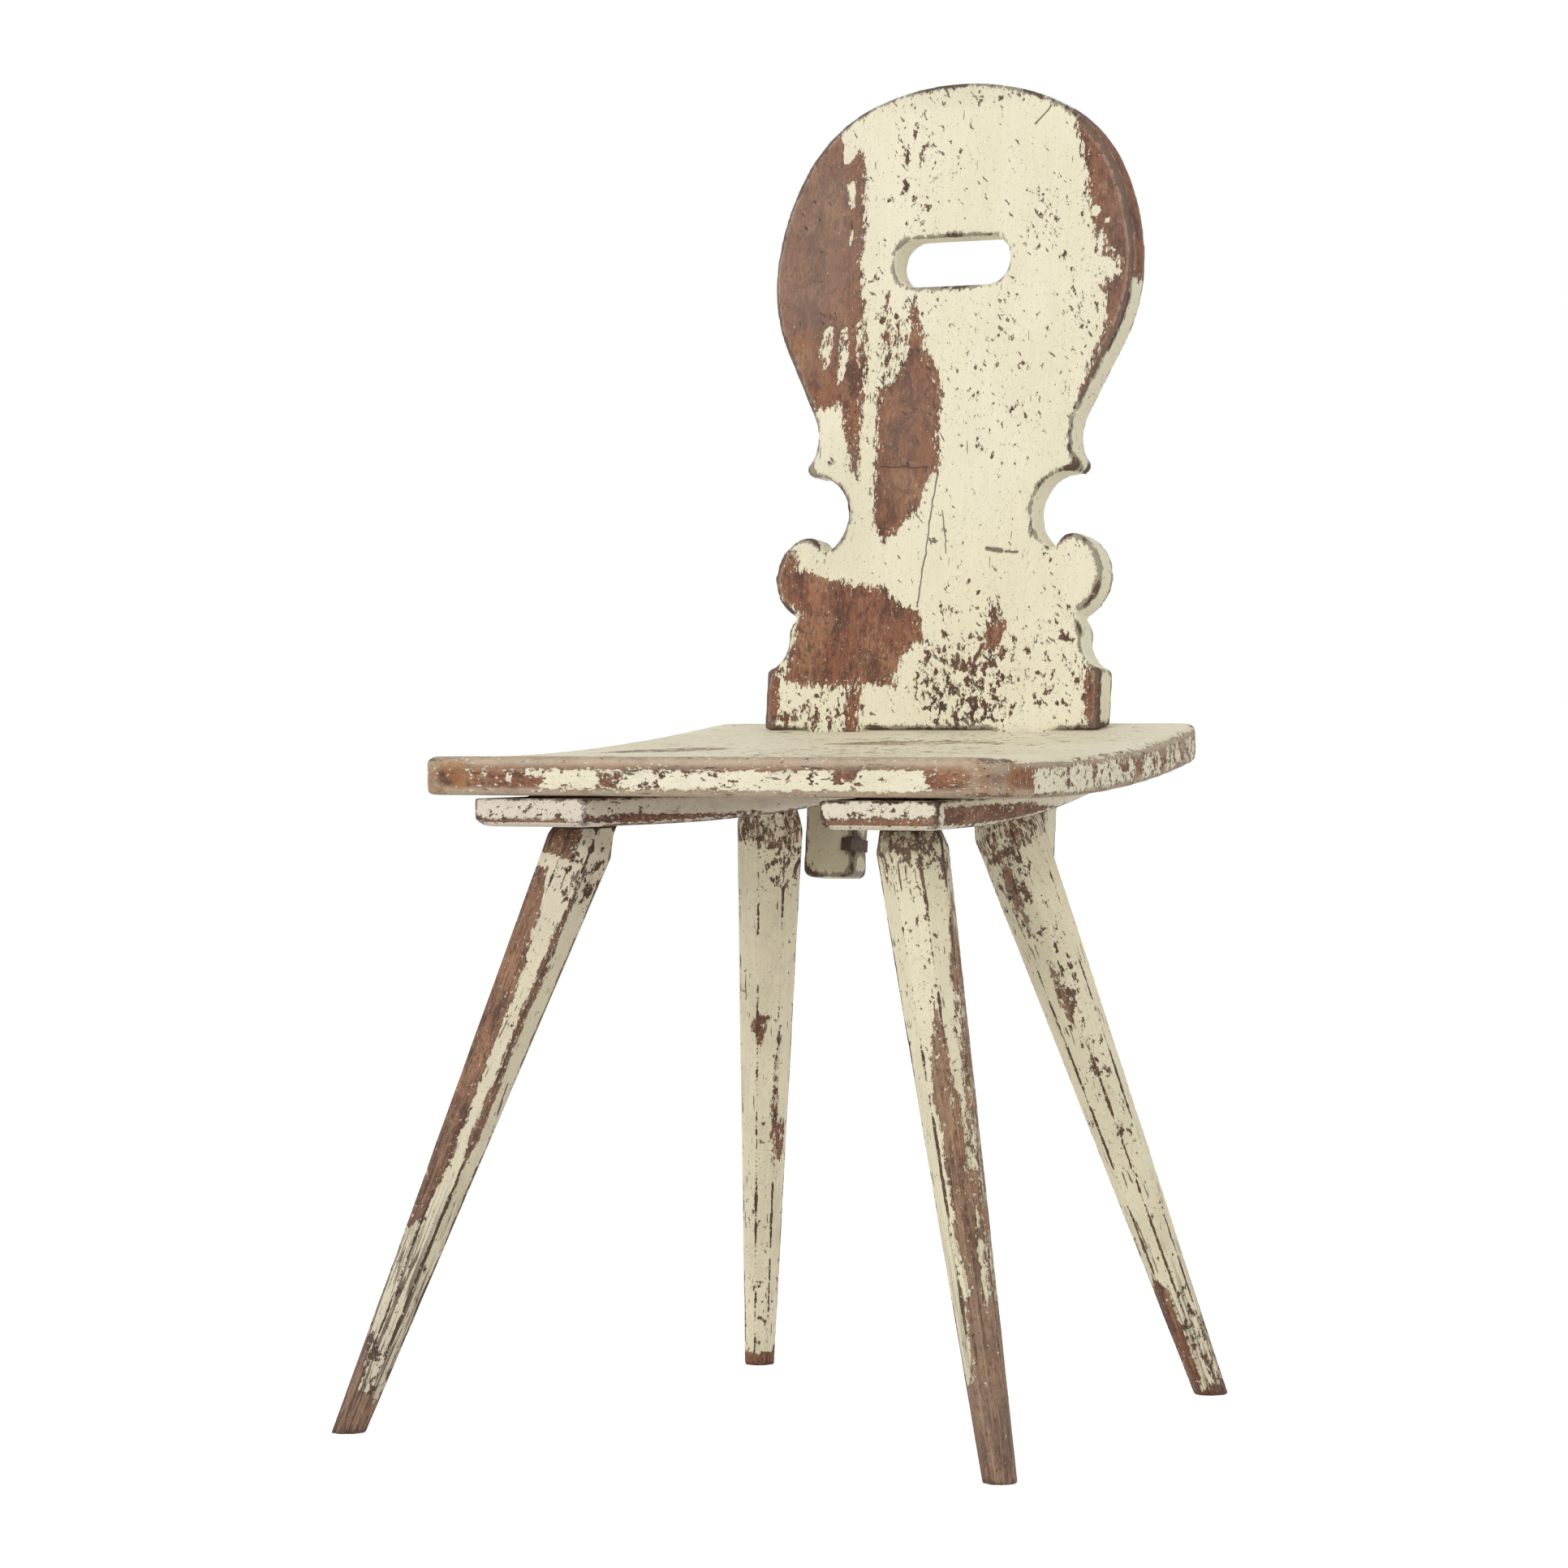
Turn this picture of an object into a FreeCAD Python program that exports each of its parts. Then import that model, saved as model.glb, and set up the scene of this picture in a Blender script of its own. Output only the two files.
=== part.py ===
import FreeCAD, Part

import math
import os

import Sketcher

# Board chair: a dished seat board on two dovetail battens, four splayed legs and a sawn back board.
# Frame: millimetres, +Z up, origin on the floor at the middle of the feet. The sitter faces -Y,
# and +X is at the right of someone who stands before the chair and looks at its front.

SIDES = {"left": -1, "right": 1}

# Driving dimensions in millimetres and degrees: name, value, what it measures
SIZES = [
    ("stance_depth", 432, "front foot centres to rear foot centres, on the floor"),
    ("foot_front_overhang", 25, "seat's front corner out to a front foot's centre"),
    ("foot_rear_inset", 8.5, "seat's rear corner in to a rear foot's centre"),
    ("seat_setback", 48, "front foot centres back to the seat's front edge"),
    ("seat_height", 448.5, "floor to the seat's lowest line"),
    ("seat_thickness", 26, "seat board's thickness"),
    ("seat_depth", 355, "seat's front edge to its rear edge"),
    ("seat_front_half", 221, "half of the seat's front width"),
    ("seat_rear_half", 191, "half of the seat's rear width"),
    ("seat_side_sweep", 9.4, "angle that the arc of a seat side turns through"),
    ("seat_front_corner_radius", 22, "rounding of the front corners in plan"),
    ("seat_rear_corner_radius", 14, "rounding of the rear corners in plan"),
    ("seat_top_edge_radius", 5, "rounding of the upper edge"),
    ("seat_low_edge_radius", 3, "rounding of the lower edge"),
    ("dish_radius", 1850, "radius of the seat's dished top"),
    ("dish_line", 85, "seat's front edge to the lowest line of the dish"),
    ("batten_width", 87, "batten's width"),
    ("batten_thickness", 19.5, "seat's underside to the batten's underside"),
    ("batten_front_gap", 5, "seat's front edge to the batten's front end"),
    ("batten_rear_gap", 10, "batten's rear end to the seat's rear edge"),
    ("batten_inset", 88, "seat's front corner in to the batten's centre at its front end"),
    ("batten_toe", 9.2, "angle by which a batten runs inwards to the rear"),
    ("batten_edge_radius", 7, "rounding of the batten's lower edges"),
    ("shoulder_gap", 0.3, "open joint between the batten's shoulders and the seat"),
    ("rib_width", 50, "dovetail rib's width at the seat's underside"),
    ("rib_height", 9, "dovetail rib's depth into the seat"),
    ("rib_flare", 8, "slope of the dovetail's flanks"),
    ("rib_stop", 30, "batten's front end to the rib's front end"),
    ("socket_front", 59, "batten's front end to the front leg's socket"),
    ("socket_rear", 93.4, "batten's rear end to the rear leg's socket"),
    ("leg_flats", 45, "leg's width across flats at its thickest"),
    ("leg_foot_flats", 21, "leg's width across flats at its foot"),
    ("leg_neck_flats", 37, "leg's width across flats where it meets the batten"),
    ("leg_neck", 15, "length over which the leg narrows below the batten"),
    ("leg_tenon", 26, "diameter of the leg's round tenon"),
    ("leg_front_turn", 12, "turn of a front leg's octagon away from its splay"),
    ("wedge_length", 20, "leg wedge's length"),
    ("wedge_head", 4, "leg wedge's thickness at its wide end"),
    ("wedge_tip", 1, "leg wedge's thickness at its thin end"),
    ("back_ledge", 44, "back's front face to the seat's rear edge, at the back's datum line"),
    ("back_datum", 1.5, "height of the back's datum line above the seat's lowest line"),
    ("back_lean", 6.9, "angle by which the back leans rearwards"),
    ("back_thickness", 22, "back board's thickness"),
    ("back_edge_radius", 2, "rounding of the head's edges and of the hand hole's"),
    ("base_shoulder", 38, "back tenon's outer edge out to the side of the square base"),
    ("base_height", 55.9, "datum line up to the top of the square base"),
    ("cove_width", 16.5, "inward step of the hollow above the base"),
    ("cove_height", 19.6, "height of the hollow above the base"),
    ("cove_sweep", 71, "angle that the hollow above the base turns through"),
    ("ogee_width", 7, "inward step of the round part above the cove"),
    ("ogee_height", 17.7, "height of the round part above the cove"),
    ("ogee_sweep", 71, "angle that the round part above the cove turns through"),
    ("scroll_width", 2.5, "inward step from the cusp under the scroll to the scroll's top"),
    ("scroll_height", 57.9, "height from the cusp to the scroll's top"),
    ("scroll_sweep", 148, "angle that the scroll's outer side turns through"),
    ("hook_width", 14, "inward step from the scroll's top to the notch"),
    ("hook_height", 11.6, "depth from the scroll's top down to the notch"),
    ("hook_sweep", 90, "angle that the scroll's inner side turns through"),
    ("notch_width", 8, "outward step from the notch's lower end to its upper end"),
    ("notch_height", 54.7, "height of the round notch"),
    ("notch_sweep", 161, "angle that the round notch turns through"),
    ("horn_width", 5, "outward step across the horn's round nib"),
    ("horn_height", 10.3, "height of the horn's round nib"),
    ("horn_sweep", 170, "angle that the horn's nib turns through"),
    ("waist_width", 0.5, "inward step across the waist's hollow"),
    ("waist_height", 32.2, "height of the waist's hollow"),
    ("waist_sweep", 56.8, "angle that the waist's hollow turns through"),
    ("cheek_width", 25, "outward step of the straight cheek"),
    ("cheek_height", 48.3, "height of the straight cheek"),
    ("jowl_width", 12.5, "outward step from the cheek to the head's greatest width"),
    ("jowl_height", 57.5, "height from the cheek to the head's greatest width"),
    ("jowl_sweep", 30.6, "angle of the arc up to the head's greatest width"),
    ("brow_width", 19, "inward step from the head's greatest width to the temple"),
    ("brow_height", 68.5, "height from the head's greatest width to the temple"),
    ("brow_sweep", 25.4, "angle of the arc from the greatest width to the temple"),
    ("temple_width", 58, "inward step from the temple to the crown"),
    ("temple_height", 50.3, "height from the temple to the crown's flat arc"),
    ("temple_sweep", 41.9, "angle of the arc from the temple to the crown"),
    ("crown_sweep", 19.94, "angle that each half of the crown's flat arc turns through"),
    ("hole_width", 92, "hand hole's width"),
    ("hole_height", 34, "hand hole's height"),
    ("hole_depth", 127.4, "top of the head down to the hand hole's centre"),
    ("tenon_offset", 8.9, "batten's centre line in to the back tenon's centre"),
    ("tenon_width", 41, "back tenon's width"),
    ("tenon_length", 91, "datum line down to the back tenon's end"),
    ("tenon_corner_radius", 6, "rounding of the back tenon's lower corners"),
    ("peg_width", 8.5, "side of the square tenon peg"),
    ("peg_edge", 1.5, "wood left between the peg and the tenon's inner edge"),
    ("peg_height", 23.6, "back tenon's end up to the peg's centre"),
    ("peg_proud", 0.6, "length of peg that stands out of the tenon on each face"),
    ("fit", 0.15, "clearance of a close wooden joint, on each face"),
]

OCTAGON = 8
HALF_FACET = 180 / OCTAGON
HALF_TURN = 180
SQUARE = 90
TOLERANCE = 0.01
UPRIGHT = (0, 0, 1)
CROSSWISE = (0, 1, 0)
LEFTWARDS = (-1, 0, 0)


class Size:
    """A number and the expression over the sheet that gives it; arithmetic keeps them in step."""

    def __init__(self, value, text=None):
        self.value = value
        self.text = text if text is not None else f"({value})"

    def __add__(self, other):
        other = as_size(other)
        return Size(self.value + other.value, f"({self.text} + {other.text})")

    def __sub__(self, other):
        other = as_size(other)
        return Size(self.value - other.value, f"({self.text} - {other.text})")

    def __mul__(self, other):
        other = as_size(other)
        return Size(self.value * other.value, f"({self.text} * {other.text})")

    def __truediv__(self, other):
        other = as_size(other)
        return Size(self.value / other.value, f"({self.text} / {other.text})")

    def __neg__(self):
        return Size(-self.value, f"(0 - {self.text})")


def as_size(number):
    """Return a Size for a plain number, and a Size as it is."""
    return number if isinstance(number, Size) else Size(number)


def sine(angle):
    """Return the sine of an angle in degrees."""
    return Size(math.sin(math.radians(angle.value)), f"sin({angle.text} * 1deg)")


def cosine(angle):
    """Return the cosine of an angle in degrees."""
    return Size(math.cos(math.radians(angle.value)), f"cos({angle.text} * 1deg)")


def tangent(angle):
    """Return the tangent of an angle in degrees."""
    return Size(math.tan(math.radians(angle.value)), f"tan({angle.text} * 1deg)")


def bearing(across, along):
    """Return the angle in degrees whose tangent is across divided by along."""
    angle = math.degrees(math.atan2(across.value, along.value))
    return Size(angle, f"(atan2({across.text}; {along.text}) / 1deg)")


def distance(*parts):
    """Return the length of a vector from its parts."""
    texts = "; ".join(part.text for part in parts)
    return Size(math.hypot(*(part.value for part in parts)), f"hypot({texts})")


doc = FreeCAD.newDocument("board_chair")
sheet = doc.addObject("Spreadsheet::Sheet", "Sizes")
for row, (alias, value, meaning) in enumerate(SIZES, start=1):
    sheet.set(f"A{row}", alias)
    sheet.set(f"B{row}", str(value))
    sheet.setAlias(f"B{row}", alias)
    sheet.set(f"C{row}", meaning)
doc.recompute()
size = {alias: Size(value, f"Sizes.{alias}") for alias, value, _ in SIZES}

# Places that several pieces share
seat_front = size["seat_setback"] - size["stance_depth"] / 2
seat_rear = seat_front + size["seat_depth"]
seat_under = size["seat_height"] - size["seat_thickness"]
dish_y = seat_front + size["dish_line"]
dish_z = size["seat_height"] + size["dish_radius"]
batten_under = seat_under - size["batten_thickness"]
batten_front = seat_front + size["batten_front_gap"]
batten_reach = size["seat_depth"] - size["batten_front_gap"] - size["batten_rear_gap"]
batten_half = size["seat_front_half"] - size["batten_inset"]
rib_depth = size["seat_thickness"] - size["rib_height"]
back_front = seat_rear - size["back_ledge"]
tenon_centre = batten_half - (back_front - batten_front) * tangent(size["batten_toe"]) - size["tenon_offset"]
tenon_inner = tenon_centre - size["tenon_width"] / 2
tenon_outer = tenon_centre + size["tenon_width"] / 2
peg_centre = tenon_inner + size["peg_edge"] + size["peg_width"] / 2
base_half = tenon_outer + size["base_shoulder"]
span = size["seat_front_half"] * 4


def bind(thing, **sizes):
    """Tie an object's properties to the sheet."""
    for name, amount in sizes.items():
        thing.setExpression(name, as_size(amount).text)
    return thing


def add(kind, name, **sizes):
    """Add an object whose properties are tied to the sheet."""
    return bind(doc.addObject(kind, name), **sizes)


def place(thing, base, *turns):
    """Tie an object's place to the sheet: its base point, then its turns, outermost first."""
    point = "; ".join(as_size(part).text for part in base)
    turned = [f"rotation(vector({x}; {y}; {z}); {as_size(angle).text})" for (x, y, z), angle in turns]
    thing.setExpression("Placement", f"placement(vector({point}); {' * '.join(turned)})")
    return thing


def cut(name, base, tool):
    """Return base with tool taken away."""
    result = doc.addObject("Part::Cut", name)
    result.Base = base
    result.Tool = tool
    return result


def common(name, first, second):
    """Return what two solids share."""
    result = doc.addObject("Part::MultiCommon", name)
    result.Shapes = [first, second]
    return result


def fuse(name, *pieces):
    """Return several solids joined into one."""
    result = doc.addObject("Part::MultiFuse", name)
    result.Shapes = list(pieces)
    result.Refine = True
    return result


def origin_plane(body, role):
    """Find one of a body's own origin planes."""
    return next(item for item in body.Origin.OriginFeatures if item.Role == role)


def arc_between(start, end, sweep):
    """Return the arc from start to end that turns left by sweep degrees, or right if negative."""
    half = math.radians(abs(sweep)) / 2
    turn = math.copysign(1, sweep)
    chord = end - start
    radius = chord.Length / 2 / math.sin(half)
    left = FreeCAD.Vector(-chord.y, chord.x, 0).normalize()
    centre = (start + end) * 0.5 + left * (turn * radius * math.cos(half))
    first, last = (start, end) if turn > 0 else (end, start)
    begins = math.atan2(first.y - centre.y, first.x - centre.x)
    ends = math.atan2(last.y - centre.y, last.x - centre.x)
    if ends < begins:
        ends += 2 * math.pi
    return Part.ArcOfCircle(Part.Circle(centre, FreeCAD.Vector(*UPRIGHT), radius), begins, ends)


def constrain(sketch, label, amount, unit, *where):
    """Add a named constraint to a sketch and tie it to the sheet."""
    scale = math.radians(1) if unit == "deg" else 1
    number = sketch.addConstraint(Sketcher.Constraint(*where, amount.value * scale))
    sketch.renameConstraint(number, label)
    sketch.setExpression(f"Constraints.{label}", f"{amount.text} * 1{unit}")


def outline(body, name, role, corners, sweeps):
    """Draw a closed outline on one of a body's origin planes.

    Each corner is a pair of sizes. For the side that follows each corner, sweeps holds None for
    a straight side, or the angle of an arc, negative where the arc turns right.
    """
    sketch = body.newObject("Sketcher::SketchObject", name)
    sketch.AttachmentSupport = [(origin_plane(body, role), "")]
    sketch.MapMode = "FlatFace"
    corners = [(as_size(across), as_size(up)) for across, up in corners]
    points = [FreeCAD.Vector(across.value, up.value, 0) for across, up in corners]
    ends = []
    for index, sweep in enumerate(sweeps):
        start, end = points[index], points[(index + 1) % len(points)]
        if sweep is None:
            ends.append((sketch.addGeometry(Part.LineSegment(start, end)), 1, 2))
            continue
        side = sketch.addGeometry(arc_between(start, end, sweep.value))
        turns_left = sweep.value > 0
        constrain(sketch, f"{name}_sweep_{index}", sweep if turns_left else -sweep, "deg", "Angle", side)
        ends.append((side, 1, 2) if turns_left else (side, 2, 1))
    for index, (side, first, _) in enumerate(ends):
        before, _, last = ends[index - 1]
        across, up = corners[index]
        sketch.addConstraint(Sketcher.Constraint("Coincident", before, last, side, first))
        constrain(sketch, f"{name}_across_{index}", across, "mm", "DistanceX", -1, 1, side, first)
        constrain(sketch, f"{name}_up_{index}", up, "mm", "DistanceY", -1, 1, side, first)
    return sketch


def rectangle(left, right, bottom, top):
    """Return the corners and sides of an upright rectangle."""
    return [(left, bottom), (right, bottom), (right, top), (left, top)], [None] * 4


def pad(body, sketch, length, **settings):
    """Pad a sketch."""
    feature = body.newObject("PartDesign::Pad", f"{sketch.Name}_pad")
    feature.Profile = sketch
    for name, setting in settings.items():
        setattr(feature, name, setting)
    return bind(feature, Length=length)


def mirrored(body, feature):
    """Mirror a body's feature across the chair's mid-plane."""
    result = body.newObject("PartDesign::Mirrored", f"{feature.Name}_mirrored")
    result.Originals = [feature]
    result.MirrorPlane = (origin_plane(body, "YZ_Plane"), [""])
    result.Refine = True
    body.Tip = result
    doc.recompute()
    return result


def rounded(body, name, base, keep, radius):
    """Round those edges of a body's feature that pass the test keep."""
    doc.recompute()
    edges = [f"Edge{number}" for number, edge in enumerate(base.Shape.Edges, start=1) if keep(edge)]
    feature = body.newObject("PartDesign::Fillet", name)
    feature.Base = (base, edges)
    bind(feature, Radius=radius)
    doc.recompute()
    return feature


def body_from(name, solid):
    """Return a body that goes on from a finished solid, and its first feature."""
    body = doc.addObject("PartDesign::Body", name)
    body.BaseFeature = solid
    doc.recompute()
    return body, body.Group[0]


def middle_of(edge):
    """Return the point halfway along an edge."""
    return edge.valueAt((edge.FirstParameter + edge.LastParameter) / 2)


def upright_at(edge, y):
    """Tell whether an edge is vertical and lies at a given Y."""
    box = edge.BoundBox
    return box.XLength < TOLERANCE and box.YLength < TOLERANCE and abs(box.YMin - y.value) < TOLERANCE


def lies_on_drum(edge, radius):
    """Tell whether an edge lies on the drum of a given radius about the dish's axis."""
    spots = [vertex.Point for vertex in edge.Vertexes] + [middle_of(edge)]
    reaches = [math.hypot(spot.y - dish_y.value, spot.z - dish_z.value) for spot in spots]
    return all(abs(reach - radius.value) < TOLERANCE for reach in reaches)


def drum(name, depth):
    """Make the long drum about the dish's axis that reaches a given depth below the seat's top."""
    tool = add("Part::Cylinder", name, Radius=size["dish_radius"] + depth, Height=span)
    return place(tool, (-span / 2, dish_y, dish_z), (CROSSWISE, SQUARE))


def band(name, front, length, low, high):
    """Make a wide slab, flat as far as the dish's lowest line, then curved up with the dish.

    low and high are the depths of its two faces below the seat's top.
    """
    body = doc.addObject("PartDesign::Body", name)
    low_radius = size["dish_radius"] + low
    high_radius = size["dish_radius"] + high
    sweep = (front + length - dish_y) / size["dish_radius"] * HALF_TURN / math.pi
    corners = [(front, dish_z - low_radius), (dish_y, dish_z - low_radius),
               (dish_y + low_radius * sine(sweep), dish_z - low_radius * cosine(sweep)),
               (dish_y + high_radius * sine(sweep), dish_z - high_radius * cosine(sweep)),
               (dish_y, dish_z - high_radius), (front, dish_z - high_radius)]
    sketch = outline(body, f"{name}_profile", "YZ_Plane", corners, [None, sweep, None, -sweep, None, None])
    pad(body, sketch, span, Midplane=True)
    return body


def along_batten(thing, side):
    """Put an object's origin at a batten's front end, with its Y axis along the batten."""
    return place(thing, (batten_half * side, batten_front, 0), (UPRIGHT, size["batten_toe"] * side))


def leaning(thing):
    """Stand an object on the back's datum line, leaning with the back."""
    base = (0, back_front, size["seat_height"] + size["back_datum"])
    return place(thing, base, (LEFTWARDS, size["back_lean"]))


# Seat board
def seat_blank():
    """Make the dished board with bowed sides and rounded edges, before its joints are cut."""
    plan = doc.addObject("PartDesign::Body", "seat_plan")
    corners = [(-size["seat_front_half"], seat_front), (size["seat_front_half"], seat_front),
               (size["seat_rear_half"], seat_rear), (-size["seat_rear_half"], seat_rear)]
    bow = size["seat_side_sweep"]
    sketch = outline(plan, "seat_outline", "XY_Plane", corners, [None, bow, None, bow])
    block = pad(plan, sketch, size["seat_height"] * 2)
    front = rounded(plan, "seat_front_corners", block, lambda edge: upright_at(edge, seat_front),
                    size["seat_front_corner_radius"])
    rounded(plan, "seat_rear_corners", front, lambda edge: upright_at(edge, seat_rear),
            size["seat_rear_corner_radius"])
    slab = common("seat_slab", plan, drum("seat_under_drum", size["seat_thickness"]))
    board = cut("seat_dished", slab, drum("seat_top_drum", Size(0)))
    body, blank = body_from("seat_blank", board)
    top = rounded(body, "seat_top_edge", blank, lambda edge: lies_on_drum(edge, size["dish_radius"]),
                  size["seat_top_edge_radius"])
    under_radius = size["dish_radius"] + size["seat_thickness"]
    rounded(body, "seat_low_edge", top, lambda edge: lies_on_drum(edge, under_radius),
            size["seat_low_edge_radius"])
    return body


# Battens
def dovetail(name, side, widen, front, depth):
    """Make the dovetail bar along a batten, up to a given depth below the seat's top."""
    body = doc.addObject("PartDesign::Body", f"{name}_bar")
    low = seat_under - size["batten_thickness"] / 2
    high = seat_under + size["seat_depth"] / 2
    slope = tangent(size["rib_flare"])
    low_half = size["rib_width"] / 2 + widen - size["batten_thickness"] / 2 * slope
    high_half = size["rib_width"] / 2 + widen + size["seat_depth"] / 2 * slope
    corners = [(-low_half, low), (low_half, low), (high_half, high), (-high_half, high)]
    sketch = outline(body, f"{name}_section", "XZ_Plane", corners, [None] * 4)
    sketch.setExpression("AttachmentOffset.Base.z", (-front).text)
    pad(body, sketch, size["seat_depth"] * 2, Reversed=True)
    along_batten(body, side)
    return cut(f"{name}_dovetail", body, drum(f"{name}_top_drum", depth))


def back_mortise(name, side):
    """Make the slanted space that a back tenon fills."""
    body = doc.addObject("PartDesign::Body", name)
    inner, outer = tenon_inner - size["fit"], tenon_outer + size["fit"]
    left, right = (inner, outer) if side > 0 else (-outer, -inner)
    section = rectangle(left, right, -size["fit"], size["back_thickness"] + size["fit"])
    sketch = outline(body, f"{name}_section", "XY_Plane", *section)
    pad(body, sketch, size["tenon_length"] * 2, Midplane=True)
    return leaning(body)


def batten(name, side, mortise, sockets):
    """Make a batten: toed in, curved with the seat, with its dovetail rib, mortise and sockets."""
    plan = doc.addObject("PartDesign::Body", f"{name}_plan")
    half = size["batten_width"] / 2
    section = rectangle(-half, half, -size["seat_depth"], size["seat_depth"] * 2)
    pad(plan, outline(plan, f"{name}_outline", "XY_Plane", *section), size["seat_height"] * 2)
    along_batten(plan, side)
    low = size["seat_thickness"] + size["batten_thickness"]
    slab = band(f"{name}_slab", batten_front, batten_reach, low,
                size["seat_thickness"] + size["shoulder_gap"])
    body, blank = body_from(f"{name}_blank", common(f"{name}_board", plan, slab))
    low_radius = size["dish_radius"] + low

    def is_low(edge):
        spots = [vertex.Point for vertex in edge.Vertexes]
        flat = all(abs(spot.z - batten_under.value) < TOLERANCE for spot in spots)
        return (flat or lies_on_drum(edge, low_radius)) and not is_seam(edge)

    def is_seam(edge):
        box = edge.BoundBox
        return box.YLength < TOLERANCE and abs(box.YMin - dish_y.value) < TOLERANCE

    rounded(body, f"{name}_low_edge", blank, is_low, size["batten_edge_radius"])
    rib = dovetail(f"{name}_rib", side, Size(0), size["rib_stop"], rib_depth)
    rear = band(f"{name}_reach", batten_front, batten_reach, low - size["batten_edge_radius"], Size(0))
    whole = fuse(f"{name}_whole", body, common(f"{name}_trimmed_rib", rib, rear))
    return cut(name, whole, fuse(f"{name}_spaces", mortise, *sockets))


# Legs
class LegAxis:
    """The line of a leg, from the middle of its foot on the floor to its socket in the batten."""

    def __init__(self, end, side):
        toe = size["batten_toe"]
        if end == "front":
            depth = -size["stance_depth"] / 2
            foot_half = size["seat_front_half"] + size["foot_front_overhang"]
            reach = size["socket_front"] * cosine(toe)
        else:
            depth = size["stance_depth"] / 2
            foot_half = size["seat_rear_half"] - size["foot_rear_inset"]
            reach = batten_reach - size["socket_rear"] * cosine(toe)
        socket_half = batten_half - reach * tangent(toe)
        socket_y = batten_front + reach
        self.foot = (foot_half * side, depth, Size(0))
        inwards = (socket_half - foot_half) * side
        rearwards = socket_y - depth
        self.azimuth = bearing(rearwards, inwards)
        self.tilt = bearing(distance(inwards, rearwards), batten_under)
        past_dish = socket_y - dish_y if end == "rear" else Size(0)
        rise = past_dish * past_dish / (size["dish_radius"] * 2)
        self.shoulder = (batten_under + rise) / cosine(self.tilt)
        self.head = (seat_under + size["rib_height"] + rise) / cosine(self.tilt)
        self.turn = Size(HALF_FACET) + (size["leg_front_turn"] * side if end == "front" else 0)

    def put(self, thing, along=Size(0)):
        """Set an object that was made along the Z axis on the leg's line, so far up from the floor."""
        level = along * sine(self.tilt)
        rise = (level * cosine(self.azimuth), level * sine(self.azimuth), along * cosine(self.tilt))
        base = [start + part for start, part in zip(self.foot, rise)]
        return place(thing, base, (UPRIGHT, self.azimuth), (CROSSWISE, self.tilt))


def rod(name, axis, radius):
    """Make a round bar on a leg's line, from below the shoulder to beyond the tenon's head."""
    low = axis.shoulder - size["leg_neck"] * 3
    bar = add("Part::Cylinder", name, Radius=radius, Height=axis.head + size["leg_tenon"] - low)
    return axis.put(bar, low)


def octagon(name, axis, flats, along):
    """Make an eight-sided section across a leg."""
    section = add("Part::RegularPolygon", name, Circumradius=flats / 2 / cosine(Size(HALF_FACET)))
    section.Polygon = OCTAGON
    return place(section, (0, 0, along), (UPRIGHT, axis.turn))


def leg(name, axis, above_shoulder):
    """Make a leg and the wedge that spreads its tenon."""
    sections = [
        octagon(f"{name}_sole", axis, size["leg_foot_flats"], -size["leg_foot_flats"]),
        octagon(f"{name}_foot", axis, size["leg_foot_flats"], Size(0)),
        octagon(f"{name}_thick", axis, size["leg_flats"], axis.shoulder - size["leg_neck"]),
        octagon(f"{name}_neck", axis, size["leg_neck_flats"], axis.shoulder),
        octagon(f"{name}_top", axis, size["leg_neck_flats"], axis.shoulder + size["leg_neck_flats"]),
    ]
    taper = doc.addObject("Part::Loft", f"{name}_taper")
    taper.Sections = sections
    taper.Solid = True
    taper.Ruled = True
    axis.put(taper)
    shaft = cut(f"{name}_shaft", taper, above_shoulder)
    tenon = rod(f"{name}_tenon", axis, size["leg_tenon"] / 2)
    head = cut(f"{name}_tenon_head", tenon, drum(f"{name}_head_drum", rib_depth))
    whole = fuse(f"{name}_whole", shaft, head)

    taper_half = (size["wedge_head"] - size["wedge_tip"]) / size["wedge_length"] / 2
    past_head = size["leg_tenon"]
    head_half = size["wedge_head"] / 2 + taper_half * past_head
    tip_half = size["wedge_tip"] / 2
    tip, end = axis.head - size["wedge_length"], axis.head + past_head
    wedge = doc.addObject("PartDesign::Body", f"{name}_wedge_space")
    corners = [(-tip_half, tip), (tip_half, tip), (head_half, end), (-head_half, end)]
    sketch = outline(wedge, f"{name}_wedge_profile", "XZ_Plane", corners, [None] * 4)
    pad(wedge, sketch, size["leg_tenon"] * 2, Midplane=True)
    axis.put(wedge)
    split = cut(f"{name}_split", whole, wedge)
    below_floor = doc.addObject("PartDesign::Body", f"{name}_floor")
    ground = rectangle(-span, span, -span, span)
    pad(below_floor, outline(below_floor, f"{name}_ground", "XY_Plane", *ground), span, Reversed=True)
    return cut(name, split, below_floor), common(name.replace("leg", "leg_wedge"), head, wedge)


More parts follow.
